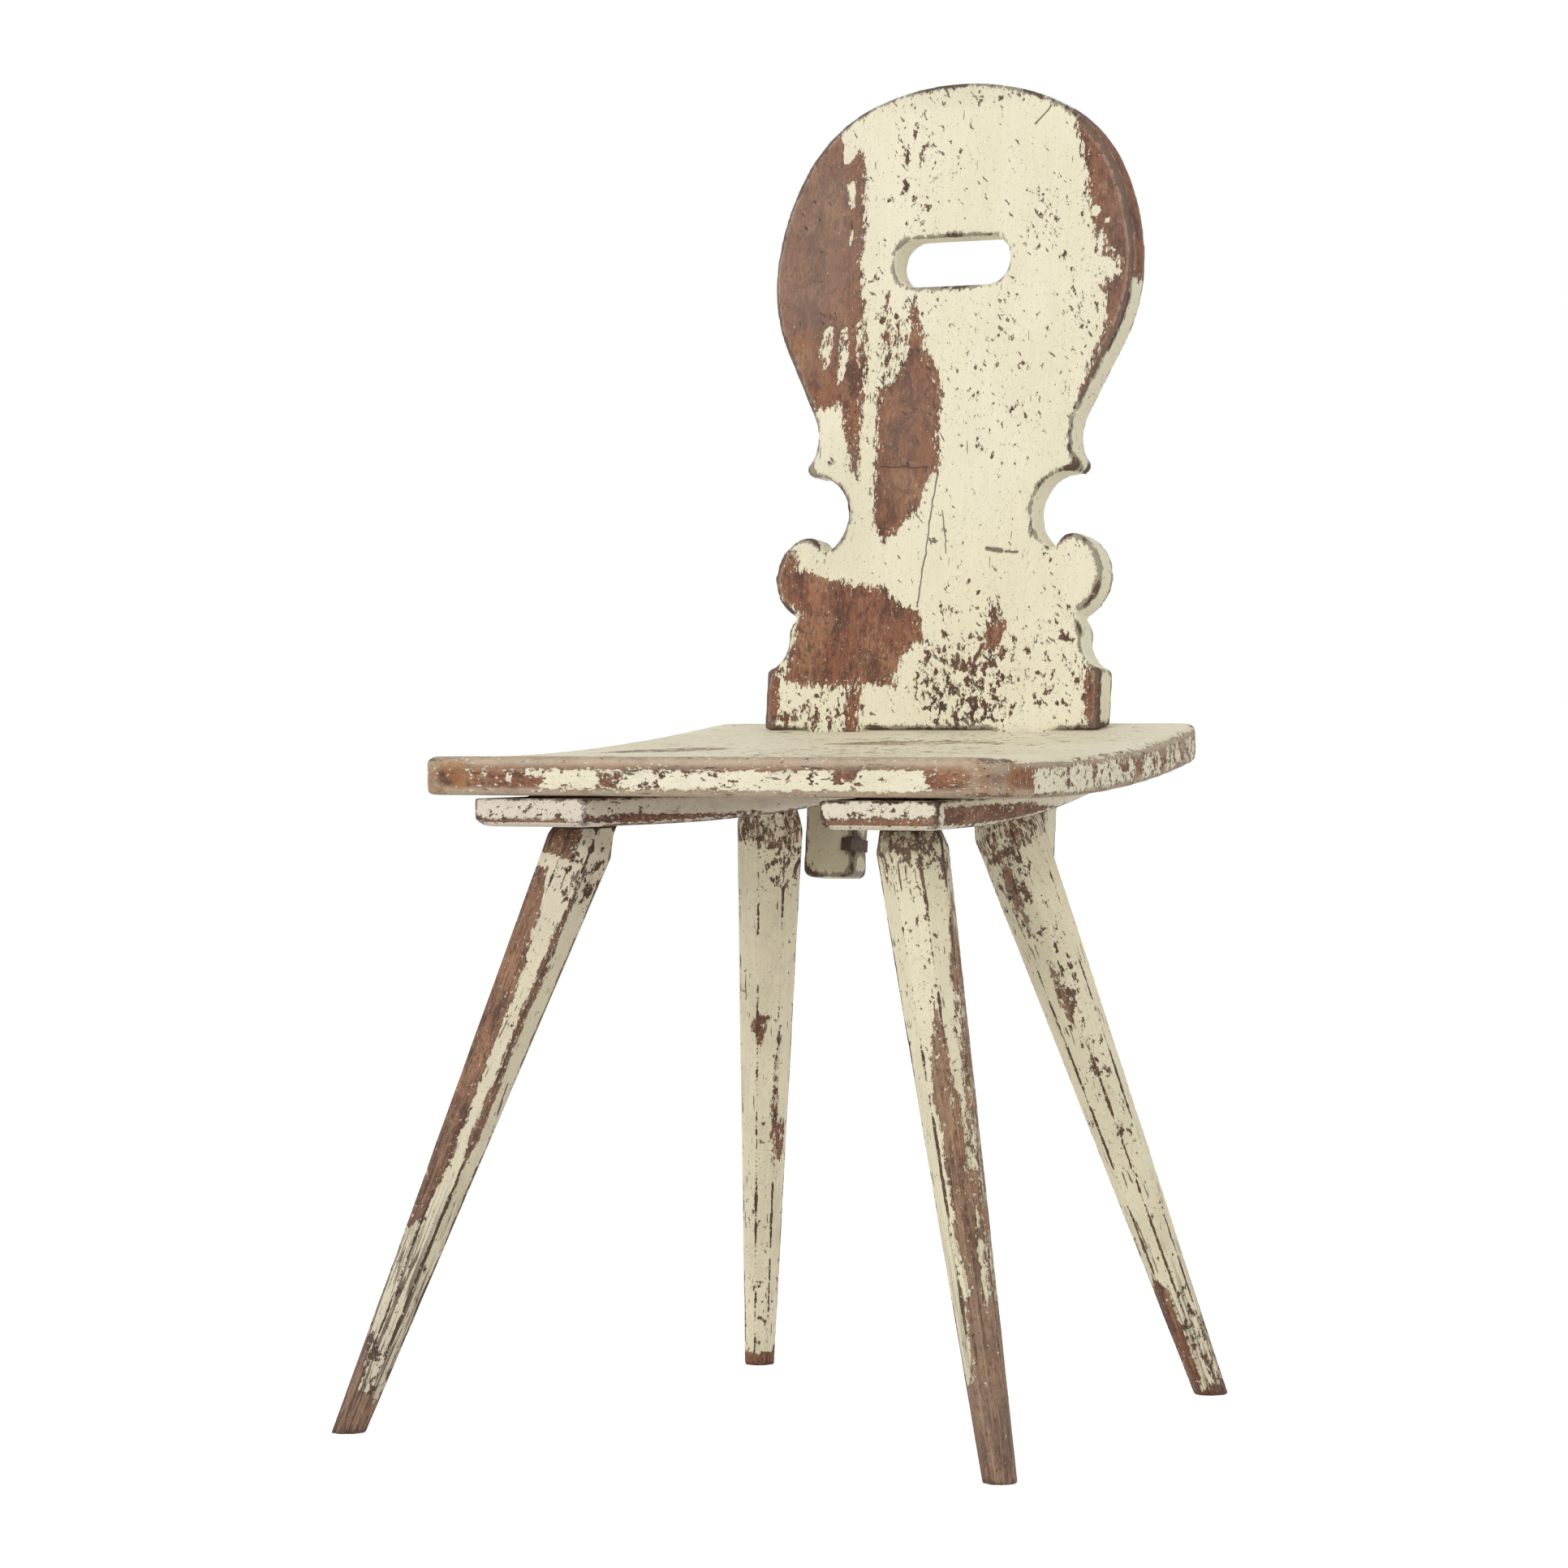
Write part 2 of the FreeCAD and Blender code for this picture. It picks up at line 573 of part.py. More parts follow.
# Back board
def back_outline(body):
    """Draw the right half of the sawn outline, from the mid-plane's foot round to the top.

    Return the sketch and the height above the datum line at which each stretch of it ends.
    """
    inwards, outwards = -1, 1
    hollow, bulging = -1, 1
    steps = [("cove", inwards, hollow), ("ogee", inwards, bulging), ("scroll", inwards, bulging),
             ("hook", inwards, bulging), ("notch", outwards, hollow), ("horn", outwards, bulging),
             ("waist", inwards, hollow), ("cheek", outwards, None), ("jowl", outwards, bulging),
             ("brow", inwards, bulging), ("temple", inwards, bulging)]
    across, up = base_half, size["base_height"]
    corners = [(0, -size["seat_thickness"]), (base_half, -size["seat_thickness"]), (across, up)]
    sweeps = [None, None]
    levels = {}
    for name, direction, bend in steps:
        height = size[f"{name}_height"]
        across = across + size[f"{name}_width"] * direction
        up = up - height if name == "hook" else up + height
        levels[name] = up
        corners.append((across, up))
        sweeps.append(size[f"{name}_sweep"] * bend if bend else None)
    levels["crown"] = up + across * tangent(size["crown_sweep"] / 2)
    corners.append((0, levels["crown"]))
    sweeps += [size["crown_sweep"], None]
    return outline(body, "back_outline", "XZ_Plane", corners, sweeps), levels


def back_plate():
    """Make the sawn board with its hand hole; the head's edges are softened, the scrolls' are sharp."""
    body = doc.addObject("PartDesign::Body", "back_plate")
    sketch, levels = back_outline(body)
    half = pad(body, sketch, size["back_thickness"], Reversed=True)
    doc.recompute()
    mirrored(body, half)
    radius = size["hole_height"] / 2
    left, right = radius - size["hole_width"] / 2, size["hole_width"] / 2 - radius
    centre = levels["crown"] - size["hole_depth"]
    bottom, top = centre - radius, centre + radius
    corners = [(left, bottom), (right, bottom), (right, top), (left, top)]
    end = Size(HALF_TURN)
    sketch = outline(body, "hand_hole", "XZ_Plane", corners, [None, end, None, end])
    hole = body.newObject("PartDesign::Pocket", "hand_hole_pocket")
    hole.Profile = sketch
    hole.Type = "ThroughAll"
    hole.Midplane = True

    def is_head_edge(edge):
        box = edge.BoundBox
        off_face = min(abs(box.YMin), abs(box.YMin - size["back_thickness"].value))
        on_face = box.YLength < TOLERANCE and off_face < TOLERANCE
        return on_face and middle_of(edge).z > levels["horn"].value

    rounded(body, "head_edges", hole, is_head_edge, size["back_edge_radius"])
    return leaning(body)


def back_tenons():
    """Make the two tenons that run down through the seat and the battens."""
    body = doc.addObject("PartDesign::Body", "back_tenons")
    corner = size["tenon_corner_radius"]
    top, bottom = size["base_height"], -size["tenon_length"]
    corners = [(tenon_inner, top), (tenon_inner, bottom + corner), (tenon_inner + corner, bottom),
               (tenon_outer - corner, bottom), (tenon_outer, bottom + corner), (tenon_outer, top)]
    quarter = Size(SQUARE)
    sketch = outline(body, "tenon_outline", "XZ_Plane", corners, [None, quarter, None, quarter, None, None])
    tenon = pad(body, sketch, size["back_thickness"], Reversed=True)
    doc.recompute()
    mirrored(body, tenon)
    return leaning(body)


def peg(name, side, width, length):
    """Make a square peg, or its hole, across a back tenon."""
    body = doc.addObject("PartDesign::Body", name)
    across, half = peg_centre * side, width / 2
    up = size["peg_height"] - size["tenon_length"]
    section = rectangle(across - half, across + half, up - half, up + half)
    sketch = outline(body, f"{name}_section", "XZ_Plane", *section)
    sketch.setExpression("AttachmentOffset.Base.z", (-size["back_thickness"] / 2).text)
    pad(body, sketch, length, Midplane=True)
    return leaning(body)


def back_board():
    """Make the back: the plate stands on the seat, and its tenons carry the peg holes."""
    standing = common("back_standing", back_plate(), drum("back_foot_drum", -size["fit"]))
    whole = fuse("back_whole", standing, back_tenons())
    holes = [peg(f"peg_hole_{word}", side, size["peg_width"] + size["fit"] * 2, size["back_thickness"] * 2)
             for word, side in SIDES.items()]
    return cut("back_board", whole, fuse("peg_holes", *holes))


# Assembly
nodes = []
mortises, housings = [], []
for word, side in SIDES.items():
    mortise = back_mortise(f"mortise_{word}", side)
    axes = {end: LegAxis(end, side) for end in ("front", "rear")}
    sockets = [rod(f"socket_{end}_{word}", axis, size["leg_tenon"] / 2 + size["fit"])
               for end, axis in axes.items()]
    nodes.append(batten(f"batten_{word}", side, mortise, sockets))
    housings.append(dovetail(f"housing_{word}", side, size["fit"], size["rib_stop"] - size["fit"],
                             rib_depth - size["fit"]))
    mortises.append(mortise)
    for end, axis in axes.items():
        below = size["seat_thickness"] + size["batten_thickness"] + size["fit"]
        above_shoulder = band(f"shoulder_{end}_{word}", seat_front - size["seat_depth"],
                              size["seat_depth"] * 3, below, -size["seat_depth"])
        nodes.extend(leg(f"leg_{end}_{word}", axis, above_shoulder))
    nodes.append(peg(f"back_tenon_peg_{word}", side, size["peg_width"],
                     size["back_thickness"] + size["peg_proud"] * 2))
nodes.append(cut("seat_board", seat_blank(), fuse("seat_spaces", *mortises, *housings)))
nodes.append(back_board())
doc.recompute()

for thing in doc.Objects:
    if "Invalid" in thing.State or "Error" in thing.State:
        raise RuntimeError(f"{thing.Name} did not build: {thing.State}")
os.makedirs("parts", exist_ok=True)
for node in nodes:
    shape = node.Shape
    if shape.isNull() or not shape.isValid():
        raise RuntimeError(f"{node.Label} has no valid shape")
    if len(shape.Solids) != 1:
        raise RuntimeError(f"{node.Label} has {len(shape.Solids)} solids")
    shape.exportStep(f"parts/{node.Label}.step")
    print(f"{node.Label}: {shape.Volume / 1000:.1f} cm3")
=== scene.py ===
"""A board chair in cream paint, worn through to red-brown wood."""

import logging
import math
from dataclasses import dataclass
from enum import Enum

import bmesh
import bpy
import numpy as np
from mathutils import Euler, Matrix, Vector


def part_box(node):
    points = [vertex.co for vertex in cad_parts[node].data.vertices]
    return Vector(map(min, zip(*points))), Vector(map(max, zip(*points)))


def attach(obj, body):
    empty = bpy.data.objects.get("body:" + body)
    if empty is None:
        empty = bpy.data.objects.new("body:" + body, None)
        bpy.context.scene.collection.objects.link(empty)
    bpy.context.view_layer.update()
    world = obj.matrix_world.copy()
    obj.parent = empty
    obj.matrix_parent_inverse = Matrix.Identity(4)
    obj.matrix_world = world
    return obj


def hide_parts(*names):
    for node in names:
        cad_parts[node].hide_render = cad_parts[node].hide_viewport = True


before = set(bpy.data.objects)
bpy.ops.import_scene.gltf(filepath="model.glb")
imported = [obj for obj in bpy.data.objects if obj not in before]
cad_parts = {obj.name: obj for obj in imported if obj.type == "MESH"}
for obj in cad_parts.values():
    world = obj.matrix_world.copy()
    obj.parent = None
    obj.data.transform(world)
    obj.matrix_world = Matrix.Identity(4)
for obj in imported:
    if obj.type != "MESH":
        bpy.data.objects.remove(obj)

log = logging.getLogger("board_chair")

Colour = tuple[float, float, float]
Corner = tuple[float, float]
Point = tuple[float, float, float]
Socket = bpy.types.NodeSocket
Feed = object

MM = 0.001
YAW = math.radians(30.28)
QUARTER_TURN = math.radians(90.0)
TOWARDS_VIEWER = Vector((math.sin(YAW), -math.cos(YAW), 0.0))
VIEWERS_RIGHT = Vector((math.cos(YAW), math.sin(YAW), 0.0))
WHITE = (1.0, 1.0, 1.0)
FACING = 0.6
UNWORN = -30.0
LEG_RADIUS = 18.0
FLOAT, VECTOR, COLOUR = "NodeSocketFloat", "NodeSocketVector", "NodeSocketColor"
WHOLE, GEOMETRY, FINISH = "NodeSocketInt", "NodeSocketGeometry", "NodeSocketMaterial"


class Side(Enum):
    """The face of a piece that a worn place lies on."""

    FRONT = "front"
    REAR = "rear"
    TOP = "top"
    UNDER = "under"
    LEFT = "left"
    RIGHT = "right"
    ROUND = "round"


Charts = dict[Side, tuple[np.ndarray, np.ndarray]]


class Pattern(Enum):
    """The noises: grains to the metre across and along the wood, finer layers, and their strength."""

    FIBRES = (620.0, 34.0, 4.0, 0.6)
    BANDS = (38.0, 24.0, 5.0, 0.68)
    SMOKE = (58.0, 24.0, 6.0, 0.74)
    MOTTLES = (240.0, 170.0, 5.0, 0.72)
    PORES = (1000.0, 140.0, 2.0, 0.5)
    DUST = (520.0, 330.0, 4.0, 0.66)
    BROAD = (40.0, 18.0, 4.0, 0.6)
    RAGGED = (300.0, 120.0, 5.0, 0.75)
    PATCHES = (15.0, 9.0, 3.0, 0.6)
    STRETCHES = (46.0, 24.0, 3.0, 0.6)
    CLUSTERS = (36.0, 18.0, 3.0, 0.6)
    FLAKES = (160.0, 105.0, 5.0, 0.66)
    SPECKS = (700.0, 480.0, 2.0, 0.5)
    FLECKS = (400.0, 270.0, 4.0, 0.6)
    DASHES = (430.0, 50.0, 2.0, 0.5)
    NICKS = (330.0, 120.0, 3.0, 0.55)
    DIRT = (60.0, 40.0, 5.0, 0.7)
    BRUSHED = (460.0, 18.0, 4.0, 0.6)
    SPOTS = (820.0, 620.0, 2.0, 0.5)
    PALE_GRAIN = (560.0, 11.0, 4.0, 0.65)
    FURROWS = (520.0, 7.5, 3.0, 0.6)


@dataclass(frozen=True)
class WornPlace:
    """An outlined place on one side of a piece, in millimetres on that side.

    A level of 8 or more is bare, 0 is half worn away, and a negative level keeps its paint.
    """

    side: Side
    corners: tuple[Corner, ...]
    level: float


@dataclass(frozen=True)
class OvalPlace:
    """An oval place on one side of a piece, strongest in its middle."""

    side: Side
    centre: Corner
    reach: Corner
    amount: float


@dataclass(frozen=True)
class DarkLine:
    """A thin dark line between two points of the piece's grain frame, in metres; splits and scratches, and
    the left batten's painted gap shadows.
    """

    start: Point
    end: Point
    width: float


@dataclass(frozen=True)
class GrainFrame:
    """Where a piece's wood starts and how its grain lies: the grain runs along the frame's own Z."""

    origin: Vector
    turn: Euler

    def to_local(self, points: np.ndarray) -> np.ndarray:
        """Turns row-frame points, one to a row, into this frame."""
        return self.directions(points - np.array(self.origin))

    def directions(self, normals: np.ndarray) -> np.ndarray:
        """Turns row-frame directions into this frame."""
        return normals @ np.array(self.turn.to_matrix())


@dataclass(frozen=True)
class WornPaint:
    """The finish of painted wood: its colours and how its paint has worn."""

    name: str
    cream: Colour = (0.84, 0.78, 0.59)
    cream_grey: Colour = (0.66, 0.60, 0.45)
    mellow: Colour = (0.79, 0.73, 0.51)
    wood: Colour = (0.26, 0.106, 0.058)
    wood_dark: Colour = (0.105, 0.047, 0.030)
    wood_tint: Colour = (0.36, 0.180, 0.095)
    wood_warm: Colour = (0.38, 0.17, 0.06)
    pale_wood: Colour = (0.40, 0.27, 0.165)
    dust: Colour = (0.55, 0.44, 0.33)
    # The next colour is the tone that dirt and painted shade give bare wood.
    aged_and_shaded: Colour = (0.29, 0.21, 0.16)
    spots: Colour = (0.30, 0.24, 0.17)
    lip: Colour = (0.34, 0.26, 0.17)
    broken_edge: Colour = (0.055, 0.032, 0.022)
    # The next colour darkens dashes, nicks, arris lines, cracks and the painted gap shadows.
    lines: Colour = (0.075, 0.045, 0.032)
    aged_and_shaded_share: float = 0.55
    darkening: float = 0.60
    scraped: float = 0.0
    pale_grain: float = 0.0
    fray: float = 0.006
    arris_wear: float = 0.25
    chips: float = 0.2
    dashes: float = 0.3
    nicks: float = 0.3
    arris_line: float = 0.84
    # The next amount spreads random dirt over the whole paint.
    grime_and_shade: float = 0.3
    seed: float = 0.0
    dark_lines: tuple[DarkLine, ...] = ()

    def habits(self) -> tuple[float, ...]:
        """How the paint wears, in the order of PaintWear's habits."""
        return self.fray, self.arris_wear, self.chips, self.dashes, self.nicks, self.arris_line


@dataclass(frozen=True)
class SplitWood:
    """The finish of unpainted hardwood wedges and pegs."""

    name: str
    seed: float
    wood: Colour = (0.115, 0.070, 0.045)
    wood_dark: Colour = (0.055, 0.034, 0.024)
    dust: Colour = (0.50, 0.38, 0.28)


@dataclass(frozen=True)
class Handling:
    """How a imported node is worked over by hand.

    It holds the size of the faces in metres, how many times the arrises are smoothed, how deep the faces dip
    in metres, which waves they get, and how much of the surface stands right on an arris in percent.
    """

    voxel: float
    softening: int
    unevenness: float
    seed: float
    arris_share: float = 1.0


@dataclass
class Graph:
    """A node tree while it is being drawn up."""

    tree: bpy.types.NodeTree

    def feed(self, socket: Socket, value: Feed) -> None:
        """Joins a socket to another one, or gives it a plain value."""
        if isinstance(value, Socket):
            self.tree.links.new(value, socket)
        elif socket.type == "RGBA":
            socket.default_value = (*value, 1.0)
        else:
            socket.default_value = value

    def node(self, kind: str, feeds: dict | None = None, **settings: object) -> bpy.types.Node:
        """Adds one node.

        Args:
            kind: Blender's name for the node type.
            feeds: What goes into its sockets, by socket name or number.
            settings: The node's own properties.

        Returns:
            The new node.
        """
        made = self.tree.nodes.new(kind)
        for name, value in settings.items():
            setattr(made, name, value)
        for key, value in (feeds or {}).items():
            self.feed(made.inputs[key], value)
        return made

    def attribute(self, name: str) -> Socket:
        """Reads a value that is kept at the piece's points."""
        return self.node("ShaderNodeAttribute", attribute_name=name).outputs["Fac"]

    def maths(self, operation: str, *terms: Feed) -> Socket:
        """Adds one sum and returns its result."""
        return self.node("ShaderNodeMath", dict(enumerate(terms)), operation=operation).outputs[0]

    def times(self, first: Feed, second: Feed) -> Socket:
        """Multiplies two values."""
        return self.maths("MULTIPLY", first, second)

    def less(self, first: Feed, second: Feed) -> Socket:
        """Takes the second value from the first."""
        return self.maths("SUBTRACT", first, second)

    def scaled(self, value: Feed, factor: Feed, start: Feed) -> Socket:
        """Multiplies a value by a factor and adds a start."""
        return self.maths("MULTIPLY_ADD", value, factor, start)

    def most(self, first: Feed, *others: Feed) -> Socket:
        """Returns the largest of several values."""
        for other in others:
            first = self.maths("MAXIMUM", first, other)
        return first

    def ramp(self, value: Feed, low: Feed, high: Feed) -> Socket:
        """Rises smoothly from 0 at low to 1 at high."""
        feeds = {"Value": value, "From Min": low, "From Max": high}
        return self.node("ShaderNodeMapRange", feeds, interpolation_type="SMOOTHSTEP").outputs[0]

    def vector(self, operation: str, *terms: Feed) -> Socket:
        """Adds one sum of vectors; a product of two and a length come out as a value."""
        made = self.node("ShaderNodeVectorMath", dict(enumerate(terms)), operation=operation)
        return made.outputs["Value" if operation in ("DOT_PRODUCT", "LENGTH") else "Vector"]

    def stretched(self, vector: Feed, factor: Feed) -> Socket:
        """Multiplies a vector by one number."""
        return self.node("ShaderNodeVectorMath", {0: vector, "Scale": factor}, operation="SCALE").outputs[0]

    def noise(self, vector: Feed, pattern: Pattern) -> Socket:
        """Adds a noise of about 0.5 on average."""
        across, along, detail, rough = pattern.value
        spot = self.vector("MULTIPLY", vector, (across, across, along))
        feeds = {"Vector": spot, "Scale": 1.0, "Detail": detail, "Roughness": rough}
        return self.node("ShaderNodeTexNoise", feeds).outputs[0]

    def mask(self, vector: Feed, pattern: Pattern, low: float, high: float) -> Socket:
        """Adds a noise that is 0 below low and 1 above high."""
        return self.ramp(self.noise(vector, pattern), low, high)

    def blend(self, factor: Feed, first: Feed, second: Feed) -> Socket:
        """Mixes two colours: a factor of 0 gives the first, 1 the second."""
        return self.node("ShaderNodeMix", {0: factor, 6: first, 7: second}, data_type="RGBA").outputs[2]

    def layer(self, colour: Feed, mask: Feed, strength: float, tone: Feed) -> Socket:
        """Lays a tone over a colour where a mask is set.

        Args:
            colour: The colour below.
            mask: Where the tone goes.
            strength: How well the tone covers.
            tone: The colour on top.

        Returns:
            The mixed colour.
        """
        return self.blend(self.times(mask, strength), colour, tone)


def blank(owner: bpy.types.Material | bpy.types.World) -> Graph:
    """Empties a material's or a world's node tree, to be drawn up."""
    owner.use_nodes = True
    owner.node_tree.nodes.clear()
    return Graph(owner.node_tree)


class SharedGroup:
    """A node group that several materials or modifiers use."""

    def __init__(self, name: str, kind: str, inputs: dict[str, str], outputs: dict[str, str]) -> None:
        """Makes the group and its sockets.

        Args:
            name: The group's name.
            kind: The type of its tree.
            inputs: The socket type of each input, by name.
            outputs: The socket type of each output, by name.
        """
        self.tree = bpy.data.node_groups.new(name, kind)
        for way, sockets in (("INPUT", inputs), ("OUTPUT", outputs)):
            for label, socket_type in sockets.items():
                self.tree.interface.new_socket(name=label, in_out=way, socket_type=socket_type)
        self.graph = Graph(self.tree)
        self.inlet = self.graph.node("NodeGroupInput").outputs
        self.outlet = self.graph.node("NodeGroupOutput").inputs

    def place(self, graph: Graph, feeds: dict[str, Feed]) -> bpy.types.NodeOutputs:
        """Puts the group into a material's graph with its own values."""
        return graph.node("ShaderNodeGroup", feeds, node_tree=self.tree).outputs


class TimberGrain(SharedGroup):
    """Wood with long fibres, slow bands and dark pores, along the Z of its vector."""

    PORE = (0.040, 0.022, 0.016)

    def __init__(self) -> None:
        """Draws up the grain."""
        colours = ("Wood", "Dark Wood", "Tint", "Dust")
        super().__init__(
            "Timber Grain",
            "ShaderNodeTree",
            {"Grain": VECTOR} | dict.fromkeys(colours, COLOUR),
            {"Color": COLOUR, "Fibre": FLOAT},
        )
        g = self.graph
        grain, wood, dark_wood, tint, dust = (self.inlet[label] for label in ("Grain", *colours))
        fibre = g.noise(grain, Pattern.FIBRES)
        pores = g.mask(grain, Pattern.PORES, 0.58, 0.68)
        colour = g.blend(g.mask(grain, Pattern.SMOKE, 0.47, 0.60), wood, dark_wood)
        colour = g.layer(colour, g.mask(grain, Pattern.BANDS, 0.48, 0.64), 0.85, tint)
        colour = g.layer(colour, g.mask(grain, Pattern.MOTTLES, 0.50, 0.63), 0.78, dark_wood)
        colour = g.layer(colour, g.ramp(fibre, 0.52, 0.68), 0.45, dark_wood)
        colour = g.layer(colour, pores, 0.55, self.PORE)
        colour = g.layer(colour, g.mask(grain, Pattern.DUST, 0.58, 0.68), 0.42, dust)
        g.feed(self.outlet["Color"], colour)
        g.feed(self.outlet["Fibre"], g.less(fibre, g.times(pores, 0.5)))


class PaintWear(SharedGroup):
    """Where old paint is gone, where its broken edge is dark, and where dirt has gathered.

    A limit is what a noise has to pass to show: how it changes with the amount, and where it starts.
    """

    PLACES = ("Bare Place", "Chipped Place", "Arris")
    HABITS = ("Fray", "Arris Wear", "Chips", "Dashes", "Nicks", "Line Start")
    PAINT_EDGE = (0.0, 0.0003)
    DARK_EDGE = (0.0, 0.0013)
    LIP = (-0.0010, -0.0001)
    NEAR_BARE = (-0.010, 0.0)
    WELL_INSIDE = (0.001, 0.011)
    FLAKE_LIMIT = (-0.17, 0.695)
    SPECK_LIMIT = (-0.06, 0.73)
    FLECK_LIMIT = (0.085, 0.605)
    DASH_LIMIT, DASH_START = (-0.10, -0.04), 0.72
    NICK_LIMIT, NICK_START = (-0.12, -0.02), 0.71
    NICKS_IN_CHIPS = -0.05
    SLANT = (0.0, 0.7, 0.0)
    LINE_WIDTH = 0.14
    LINE_STRENGTH = 0.78

    def __init__(self) -> None:
        """Draws up the wear masks."""
        super().__init__(
            "Paint Wear",
            "ShaderNodeTree",
            {"Grain": VECTOR} | dict.fromkeys(self.PLACES + self.HABITS, FLOAT),
            dict.fromkeys(("Bare", "Dark", "Lip", "Line", "Dirt", "Cloud"), FLOAT),
        )
        g, inlet, outlet = self.graph, self.inlet, self.outlet
        grain, place, chips_here = inlet["Grain"], inlet["Bare Place"], inlet["Chipped Place"]
        broad = g.less(g.noise(grain, Pattern.BROAD), 0.5)
        ragged = g.less(g.noise(grain, Pattern.RAGGED), 0.5)
        patchy = g.noise(grain, Pattern.PATCHES)
        stretch = g.mask(grain, Pattern.STRETCHES, 0.42, 0.60)
        cluster = g.mask(grain, Pattern.CLUSTERS, 0.44, 0.66)
        fray = g.scaled(ragged, 4.0, g.times(broad, 1.8))
        worn = g.scaled(fray, inlet["Fray"], place)
        rub = g.times(inlet["Arris Wear"], g.scaled(stretch, 1.0, g.ramp(patchy, 0.44, 0.60)))
        rub = g.scaled(ragged, 0.8, rub)
        rub = g.scaled(stretch, 0.16, g.less(rub, 0.16))
        rubbed = g.ramp(g.less(g.maths("ADD", inlet["Arris"], rub), 1.0), 0.0, 0.04)
        amount = g.most(g.times(inlet["Chips"], g.scaled(cluster, 0.8, 0.2)), chips_here)
        amount = g.scaled(g.ramp(place, *self.NEAR_BARE), 0.22, amount)
        flake = g.less(g.noise(grain, Pattern.FLAKES), g.scaled(amount, *self.FLAKE_LIMIT))
        speck = g.less(g.noise(grain, Pattern.SPECKS), g.scaled(amount, *self.SPECK_LIMIT))
        deep = g.scaled(g.ramp(place, *self.WELL_INSIDE), *self.FLECK_LIMIT)
        fleck = g.less(g.noise(grain, Pattern.FLECKS), deep)
        gone = g.ramp(worn, *self.PAINT_EDGE)
        bare = g.most(gone, rubbed, g.ramp(flake, 0.0, 0.012), g.ramp(speck, 0.0, 0.02))
        bare = g.times(bare, g.less(1.0, g.ramp(fleck, 0.0, 0.02)))
        edge = g.most(g.ramp(worn, *self.LIP), g.ramp(flake, -0.03, -0.002))
        dash_limit = g.scaled(inlet["Dashes"], g.scaled(cluster, *self.DASH_LIMIT), self.DASH_START)
        dash = g.less(g.noise(grain, Pattern.DASHES), dash_limit)
        slant = g.node("ShaderNodeMapping", {"Vector": grain, "Rotation": self.SLANT}).outputs[0]
        nick_limit = g.scaled(inlet["Nicks"], g.scaled(cluster, *self.NICK_LIMIT), self.NICK_START)
        nick_limit = g.scaled(chips_here, self.NICKS_IN_CHIPS, nick_limit)
        nick = g.less(g.noise(slant, Pattern.NICKS), nick_limit)
        sketchy = g.scaled(ragged, 1.7, g.scaled(stretch, 0.16, inlet["Arris"]))
        line_end = g.maths("ADD", inlet["Line Start"], self.LINE_WIDTH)
        drawn = g.times(g.ramp(sketchy, inlet["Line Start"], line_end), self.LINE_STRENGTH)
        results = {
            "Bare": bare,
            "Dark": g.times(g.less(1.0, g.ramp(worn, *self.DARK_EDGE)), bare),
            "Lip": g.times(edge, g.less(1.0, bare)),
            "Line": g.most(g.ramp(dash, 0.0, 0.03), g.ramp(nick, 0.0, 0.03), drawn),
            "Dirt": g.mask(grain, Pattern.DIRT, 0.42, 0.72),
            "Cloud": patchy,
        }
        for label, result in results.items():
            g.feed(outlet[label], result)


class DarkLineTrace(SharedGroup):
    """A thin, slightly wandering line between two points."""

    WANDER = (0.004, 0.0, 0.004)
    CORE = 0.4

    def __init__(self) -> None:
        """Draws up the distance to the line."""
        super().__init__(
            "Dark Line Trace",
            "ShaderNodeTree",
            dict.fromkeys(("Grain", "Start", "End"), VECTOR) | {"Width": FLOAT},
            {"DarkLine": FLOAT},
        )
        g = self.graph
        grain, start, end, width = (self.inlet[label] for label in ("Grain", "Start", "End", "Width"))
        wander = g.node("ShaderNodeTexNoise", {"Vector": grain, "Scale": 90.0, "Detail": 2.0}).outputs[1]
        shift = g.vector("MULTIPLY", g.vector("SUBTRACT", wander, (0.5, 0.5, 0.5)), self.WANDER)
        along = g.vector("SUBTRACT", end, start)
        offset = g.vector("SUBTRACT", g.vector("ADD", grain, shift), start)
        top, low = g.vector("DOT_PRODUCT", offset, along), g.vector("DOT_PRODUCT", along, along)
        share = g.node("ShaderNodeClamp", {"Value": g.maths("DIVIDE", top, low)}).outputs[0]
        away = g.vector("LENGTH", g.vector("SUBTRACT", offset, g.stretched(along, share)))
        g.feed(self.outlet["DarkLine"], g.ramp(away, width, g.times(width, self.CORE)))


